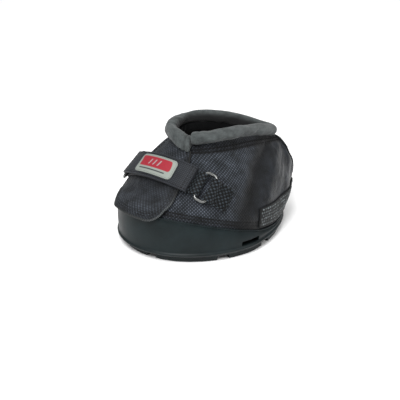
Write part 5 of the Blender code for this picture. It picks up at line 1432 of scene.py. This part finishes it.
for name, (ring_name, bar, length) in WEBBING_LENGTHS.items():
    ring = RINGS[ring_name]
    low, high = WEBBING_LEG_STAND, WEBBING_LEG_STAND + WEBBING_THICKNESS + WEBBING["leg_gap"]
    radius = RING_WIRE / 2 + RING_PLAY + WEBBING_THICKNESS / 2
    start = ring[bar + "_angle"]
    hold, settle = [abs(station_at(start, WEBBING[key], at_stand(low)) - start) for key in ("hold", "settle")]

    def high_stand(angle, rise, station):
        settled = ease((np.abs(station - start) - hold) / (settle - hold))
        return mix(WEBBING_BAR_STAND + radius, high, settled) + 0 * angle

    offsets, full_columns = edge_rows(16, WEBBING_WIDTH, WEBBING_THICKNESS)
    offsets = (offsets - 0.5) * WEBBING_WIDTH
    low_reach = np.linspace(length, WEBBING["leg_start"], 16)
    high_reach = np.linspace(WEBBING["leg_start"], length - WEBBING["shorter"], 22)
    low_leg = band_leg(ring, bar, offsets, low_reach, WEBBING["hold"], WEBBING["settle"], at_stand(low))
    high_leg = band_leg(ring, bar, offsets, high_reach, WEBBING["hold"], WEBBING["settle"], high_stand)
    middle = folded_grid(ring, bar, radius, offsets, low_leg, high_leg)
    full = np.tile(full_columns, (len(middle), 1))
    full[[0, -1]] = np.minimum(full[[0, -1]], 0.5)
    tape = strip(name + "_webbing", middle, WEBBING_THICKNESS, heavy_webbing, full)
    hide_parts(name)
    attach(tape, "strap" if name == "strap_loop" else "boot")
    if name == "strap_loop":
        continue
    direction = 1 if name == "near_anchor" else -1
    face = at_stand(high + WEBBING_THICKNESS / 2)
    near, far = [station_at(start, direction * reach, at_stand(high))
                 for reach in (BOX["start"], length - BOX["end"])]
    half = WEBBING_WIDTH / 2 - BOX["side"]
    corners = [(near, -half), (far, -half), (far, half), (near, half), (near, -half)]
    seams = list(zip(corners, corners[1:]))
    if name == "near_anchor":
        seams += [(corners[0], corners[2]), (corners[1], corners[3])]
    rows = []
    for (s0, o0), (s1, o1) in seams:
        stations, places = np.linspace(s0, s1, 16), np.linspace(o0, o1, 16)
        points = band(stations, places, face)
        lifted = band(stations, places, at_stand(high + WEBBING_THICKNESS / 2 + 0.001))
        rows.append((points, unit(lifted - points)))
    grain_rows(name + "_box_stitches", rows, *BOX_STITCH, dark_thread, "boot")

# Strap: a flat woven strap that runs from the near ring over the toe, turns back round the far
# ring's front bar, and lies down on itself, held by hook tape under its tail.
STRAP_END_REACH = 0.0036
FOLD_REACH = 0.0031
TAIL_END_ANGLE = 46.6
TAIL_SETTLE_ANGLE = -18.0
TAIL_HOOK = (-15.0, 43.0)
TAIL_STITCH = (0.0028, (0.0021, 0.0006, 0.0005))
TAIL_ROW_INSET = 0.0019
# The strap's weave is much finer than the quarters', with its selvedges pulled tight.
fine_strap, tree, shader = new_finish("fine woven strap", "191C20", 0.6, 0.18)
place = read_uv(tree)
threads = plain_weave(tree, place, 1.15, 45.0)
drift = add_node(tree, "ShaderNodeTexNoise", None,
                 {"Vector": place, "Scale": 0.12, "Detail": 4.0, "Roughness": 0.6})
tone = add_node(tree, "ShaderNodeMix", {"data_type": "RGBA"},
                {0: drift.outputs["Fac"], 6: linear("14161A"), 7: linear("212429")})
# Painted light: the threads' crowns are lightened as a painted highlight and the gaps between them darkened
# as painted shade.
lit = add_node(tree, "ShaderNodeMapRange", None,
               {"Value": threads, "From Min": 0.15, "From Max": 0.9, "To Min": 0.45, "To Max": 2.1})
shaded = add_node(tree, "ShaderNodeVectorMath", {"operation": "SCALE"},
                  {0: tone.outputs[2], "Scale": lit.outputs[0]})
tree.links.new(shaded.outputs[0], shader.inputs["Base Color"])
raised = add_node(tree, "ShaderNodeBump", None, {"Height": threads, "Strength": 0.6, "Distance": 0.0003})
tree.links.new(raised.outputs[0], shader.inputs["Normal"])
shader.inputs["Sheen Weight"].default_value = 0.05


def tail_low(angle, rise, station):
    """Under face of the folded-back tail, which comes down from over the bar."""
    settled = strap_low(angle, rise, station) + STRAP_THICKNESS + 2 * GAP + TAPE
    over_bar = strap_low(angle, rise, station) + STRAP_THICKNESS + 2 * RING_PLAY + RING_WIRE
    share = ease((station - FAR_BAR_ANGLE) / (math.radians(TAIL_SETTLE_ANGLE) - FAR_BAR_ANGLE))
    return mix(over_bar, settled, share)


def band_strip(name, stations, half_widths, low, thickness, material, full_rows, across=18):
    """A strip of the strap's run between two faces, with a half width at each station."""
    shares, full_columns = edge_rows(across, 2 * float(np.max(half_widths)), thickness)
    station, offset = stations[:, None], half_widths[:, None] * (2 * shares - 1)
    inner = band(station, offset, low)
    outer = band(station, offset, lambda a, r, s: low(a, r, s) + thickness)
    return slab(name, inner, outer, material, np.minimum.outer(full_rows, full_columns), len(shares) // 2)


def run_stations(start, end, thickness, count):
    """Angles along the strap's run, and how full its end edges are at each."""
    run = middle_line(np.linspace(start, end, 40), strap_low)[0]
    length = running_lengths(run)[-1]
    shares, full = edge_rows(count, length, thickness)
    return mix(start, end, shares), full


far = RINGS["far_ring"]
strap_start = station_at(far["front_angle"], STRAP_END_REACH, strap_low)
pieces = {}
for name, end, low in (("strap", STRAP_NEAR_ANGLE, strap_low), ("strap_tail", TAIL_END_ANGLE, tail_low)):
    stations, full = run_stations(strap_start, math.radians(end), STRAP_THICKNESS, 90)
    full[:3] = 1.0
    pieces[name] = band_strip(name + "_woven", stations, np.full(len(stations), STRAP_WIDTH / 2), low,
                              STRAP_THICKNESS, fine_strap, full)
offsets, full_columns = edge_rows(18, STRAP_WIDTH, STRAP_THICKNESS)
offsets = (offsets - 0.5) * STRAP_WIDTH
reach = np.linspace(FOLD_REACH, FOLD_REACH / 4, 6)
half_thick = STRAP_THICKNESS / 2
low_leg = band_leg(far, "front", offsets, reach, 0.0, FOLD_REACH,
                   lambda a, r, s: strap_low(a, r, s) + half_thick)
high_leg = band_leg(far, "front", offsets, reach[::-1], 0.0, FOLD_REACH,
                    lambda a, r, s: tail_low(a, r, s) + half_thick)
middle = folded_grid(far, "front", RING_WIRE / 2 + RING_PLAY + half_thick, offsets, low_leg, high_leg)
pieces["strap_fold"] = strip("strap_fold_woven", middle, STRAP_THICKNESS, fine_strap,
                             np.tile(full_columns, (len(middle), 1)))
for name, piece in pieces.items():
    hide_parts(name)
for name, body in (("strap", "strap"), ("strap_tail", "tail"), ("strap_fold", "strap")):
    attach(pieces[name], body)
stations, full = run_stations(*np.radians(TAIL_HOOK), TAPE, 50)
hook = band_strip("tail_hook_tape_pile", stations, np.full(len(stations), STRAP_WIDTH / 2 - 2 * GAP),
                  lambda a, r, s: strap_low(a, r, s) + STRAP_THICKNESS + GAP, TAPE, pile_tape, full)
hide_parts("tail_hook_tape")
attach(hook, "tail")


def band_row(stations, offsets, low, lift):
    """A row of stitches on a face of the strap."""
    points = band(stations, offsets, lambda a, r, s: low(a, r, s) + lift)
    above = band(stations, offsets, lambda a, r, s: low(a, r, s) + lift + 0.001)
    return points, unit(above - points)


edge = STRAP_WIDTH / 2 - TAIL_ROW_INSET
ends = np.radians((-33.0, TAIL_END_ANGLE - 1.6))
rows = [band_row(np.linspace(*ends, 90), np.full(90, offset), tail_low, STRAP_THICKNESS)
        for offset in (-edge, edge)]
for turn in (TAIL_END_ANGLE - 1.6, TAIL_END_ANGLE - 4.2):
    rows.append(band_row(np.full(20, math.radians(turn)), np.linspace(-edge, edge, 20), tail_low,
                         STRAP_THICKNESS))
grain_rows("tail_edge_stitches", rows, *TAIL_STITCH, dark_thread, "tail")

# Label: a smooth woven badge with rounded corners, stitched to the tail round its edge.
# Its red panel holds three plain slanted bars, over a dark line.
LABEL = {"start": -20.0, "end": 29.8, "width": 0.0182, "thickness": 0.0008, "corner": 0.0040,
         "row_inset": 0.0010}
LABEL_STITCH = (0.0020, (0.0016, 0.0005, 0.0004))
woven_badge, tree, shader = new_finish("satin woven badge", "B9BCBE", 0.55, 0.4)
place = read_uv(tree)
parts = add_node(tree, "ShaderNodeSeparateXYZ", None, {0: place})


def label_low(angle, rise, station):
    return tail_low(angle, rise, station) + STRAP_THICKNESS + GAP


ends = np.radians((LABEL["start"], LABEL["end"]))
run = middle_line(np.linspace(*ends, 60), label_low)[0]
label_length = float(running_lengths(run)[-1])
turn = (ends[1] - ends[0]) * LABEL["corner"] / label_length
steps = np.array([0.0, 0.02, 0.06, 0.13, 0.22, 0.34, 0.5, 0.7, 1.0])
stations = np.concatenate([ends[0] + turn * steps, np.linspace(ends[0] + turn, ends[1] - turn, 50)[1:-1],
                           (ends[1] - turn * steps)[::-1]])
into = np.clip(1.0 - np.minimum(stations - ends[0], ends[1] - stations) / turn, 0.0, 1.0)
half_widths = LABEL["width"] / 2 - LABEL["corner"] * (1.0 - np.sqrt(1.0 - into ** 2))
full_rows = np.ones(len(stations))
full_rows[:3] = full_rows[-3:][::-1] = (0.0, 0.6, 0.9)
badge = band_strip("label_badge", stations, half_widths, label_low, LABEL["thickness"], woven_badge,
                   full_rows)


def in_panel(middle, half, corner, slant=0.0, soft=0.18):
    """1 inside a rounded panel given in millimetres of the label's own UV, 0 outside."""
    spread = []
    lean = calculate(tree, "MULTIPLY", calculate(tree, "SUBTRACT", parts.outputs[0], middle[0]), slant)
    for axis, shift in ((0, 0.0), (1, lean)):
        place = calculate(tree, "SUBTRACT", parts.outputs[axis], shift)
        away = calculate(tree, "ABSOLUTE", calculate(tree, "SUBTRACT", place, middle[axis]))
        spread.append(calculate(tree, "MAXIMUM", calculate(tree, "SUBTRACT", away, half[axis] - corner), 0.0))
    length = calculate(tree, "SQRT", calculate(tree, "ADD", calculate(tree, "POWER", spread[0], 2.0),
                                               calculate(tree, "POWER", spread[1], 2.0)))
    return add_node(tree, "ShaderNodeMapRange", None,
                    {"Value": length, "From Min": corner - soft, "From Max": corner + soft,
                     "To Min": 1.0, "To Max": 0.0}).outputs["Result"]


centre = label_length * 1000.0 / 2
colour = linear("80867F")
for middle, half, corner, slant, code in (((1.7, centre), (5.0, centre - 3.9), 1.8, 0.0, "8A1425"),
                                          ((1.7, centre - 6.0), (2.7, 0.8), 0.5, 0.6, "8E8586"),
                                          ((1.7, centre), (2.7, 0.8), 0.5, 0.6, "8E8586"),
                                          ((1.7, centre + 6.0), (2.7, 0.8), 0.5, 0.6, "8E8586"),
                                          ((-5.6, centre), (0.55, centre - 7.0), 0.4, 0.0, "26282B")):
    patch = add_node(tree, "ShaderNodeMix", {"data_type": "RGBA"},
                     {0: in_panel(middle, half, corner, slant), 6: colour, 7: linear(code)})
    colour = patch.outputs[2]
picks = add_node(tree, "ShaderNodeTexWave", {"wave_type": "BANDS", "bands_direction": "X"},
                 {"Vector": place, "Scale": 1.1, "Distortion": 0.6, "Detail": 1.0})
lit = add_node(tree, "ShaderNodeMapRange", None,
               {"Value": picks.outputs["Fac"], "To Min": 0.88, "To Max": 1.04})
shaded = add_node(tree, "ShaderNodeVectorMath", {"operation": "SCALE"}, {0: colour, "Scale": lit.outputs[0]})
tree.links.new(shaded.outputs[0], shader.inputs["Base Color"])
raised = add_node(tree, "ShaderNodeBump", None,
                  {"Height": picks.outputs["Fac"], "Strength": 0.25, "Distance": 0.0002})
tree.links.new(raised.outputs[0], shader.inputs["Normal"])
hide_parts("label")
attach(badge, "tail")
edge = LABEL["width"] / 2 - LABEL["row_inset"]
inner = LABEL["corner"] - LABEL["row_inset"]
loop = []
for su, sv, first in ((1, 1, 0.0), (-1, 1, 90.0), (-1, -1, 180.0), (1, -1, 270.0)):
    for bend in np.radians(np.linspace(first, first + 90.0, 7)):
        loop.append((label_length / 2 + su * (label_length / 2 - LABEL["corner"]) + inner * math.cos(bend),
                     sv * (edge - inner) + inner * math.sin(bend)))
loop.append(loop[0])
loop = np.array(loop)
steps = running_lengths(loop)
dense = np.linspace(0.0, steps[-1], 160)
along, offset = np.interp(dense, steps, loop[:, 0]), np.interp(dense, steps, loop[:, 1])
row = band_row(mix(ends[0], ends[1], along / label_length), offset, label_low, LABEL["thickness"])
grain_rows("label_edge_stitches", [row], *LABEL_STITCH, grey_thread, "tail")

# Floor, light and camera: a white studio sweep under broad soft lights, at the photograph's angle.
CAMERA = {"turn": 57.0, "lift": 23.0, "distance": 0.950, "target": (0.0, 0.0, 0.050), "lens": 94.05,
          "shift": (-0.00875, -0.05425)}
paper, tree, shader = new_finish("pale studio floor", "FFFFFF", 0.9, 0.1)
place = add_node(tree, "ShaderNodeTexCoord").outputs["Object"]
mottle = add_node(tree, "ShaderNodeTexNoise", None, {"Vector": place, "Scale": 3.0, "Detail": 2.0})
tone = add_node(tree, "ShaderNodeMix", {"data_type": "RGBA"},
                {0: mottle.outputs["Fac"], 6: linear("FDFDFD"), 7: linear("FFFFFF")})
tree.links.new(tone.outputs[2], shader.inputs["Base Color"])
floor = make_piece("floor", [(-3, -3, 0), (3, -3, 0), (3, 3, 0), (-3, 3, 0)], [(0, 1, 2, 3)], paper)

world = bpy.data.worlds.new("studio")
bpy.context.scene.world = world
world.use_nodes = True
tree = world.node_tree
backdrop = tree.nodes["Background"]
ray = add_node(tree, "ShaderNodeLightPath")
backdrop.inputs["Color"].default_value = linear("FFFFFF")
way = add_node(tree, "ShaderNodeTexCoord").outputs["Generated"]
overhead = add_node(tree, "ShaderNodeSeparateXYZ", None, {0: way}).outputs["Z"]
room = add_node(tree, "ShaderNodeMapRange", {"interpolation_type": "SMOOTHSTEP"},
                {"Value": overhead, "From Min": 0.05, "From Max": 0.95, "To Min": 0.05, "To Max": 1.10})
level = add_node(tree, "ShaderNodeMix", {"data_type": "FLOAT"},
                 {0: ray.outputs["Is Camera Ray"], 2: room.outputs["Result"], 3: 1.0})
tree.links.new(level.outputs[0], backdrop.inputs["Strength"])


def soft_light(name, turn, lift, distance, size, power):
    """A square softbox aimed at the boot; turn 0 shines along +Y."""
    turn, lift = math.radians(turn), math.radians(lift)
    light = bpy.data.lights.new(name, "AREA")
    light.shape, light.size, light.energy = "SQUARE", size, power
    lamp = bpy.data.objects.new(name, light)
    bpy.context.scene.collection.objects.link(lamp)
    away = Vector((math.sin(turn) * math.cos(lift), -math.cos(turn) * math.cos(lift), math.sin(lift)))
    lamp.location = Vector(CAMERA["target"]) + away * distance
    lamp.rotation_euler = away.to_track_quat("Z", "Y").to_euler()


soft_light("key", 38.0, 48.0, 1.1, 0.55, 12.2)
soft_light("heel", 125.0, 30.0, 1.1, 0.30, 2.3)
soft_light("top", 60.0, 85.0, 1.2, 0.9, 2.5)

turn, lift = math.radians(CAMERA["turn"]), math.radians(CAMERA["lift"])
away = Vector((math.sin(turn) * math.cos(lift), -math.cos(turn) * math.cos(lift), math.sin(lift)))
view = bpy.data.cameras.new("camera")
view.lens, (view.shift_x, view.shift_y) = CAMERA["lens"], CAMERA["shift"]
view.clip_start, view.clip_end = 0.05, 20.0
camera = bpy.data.objects.new("camera", view)
camera.location = Vector(CAMERA["target"]) + away * CAMERA["distance"]
camera.rotation_euler = away.to_track_quat("Z", "Y").to_euler()
bpy.context.scene.collection.objects.link(camera)
bpy.context.scene.camera = camera
bpy.context.scene.view_settings.view_transform = "Standard"
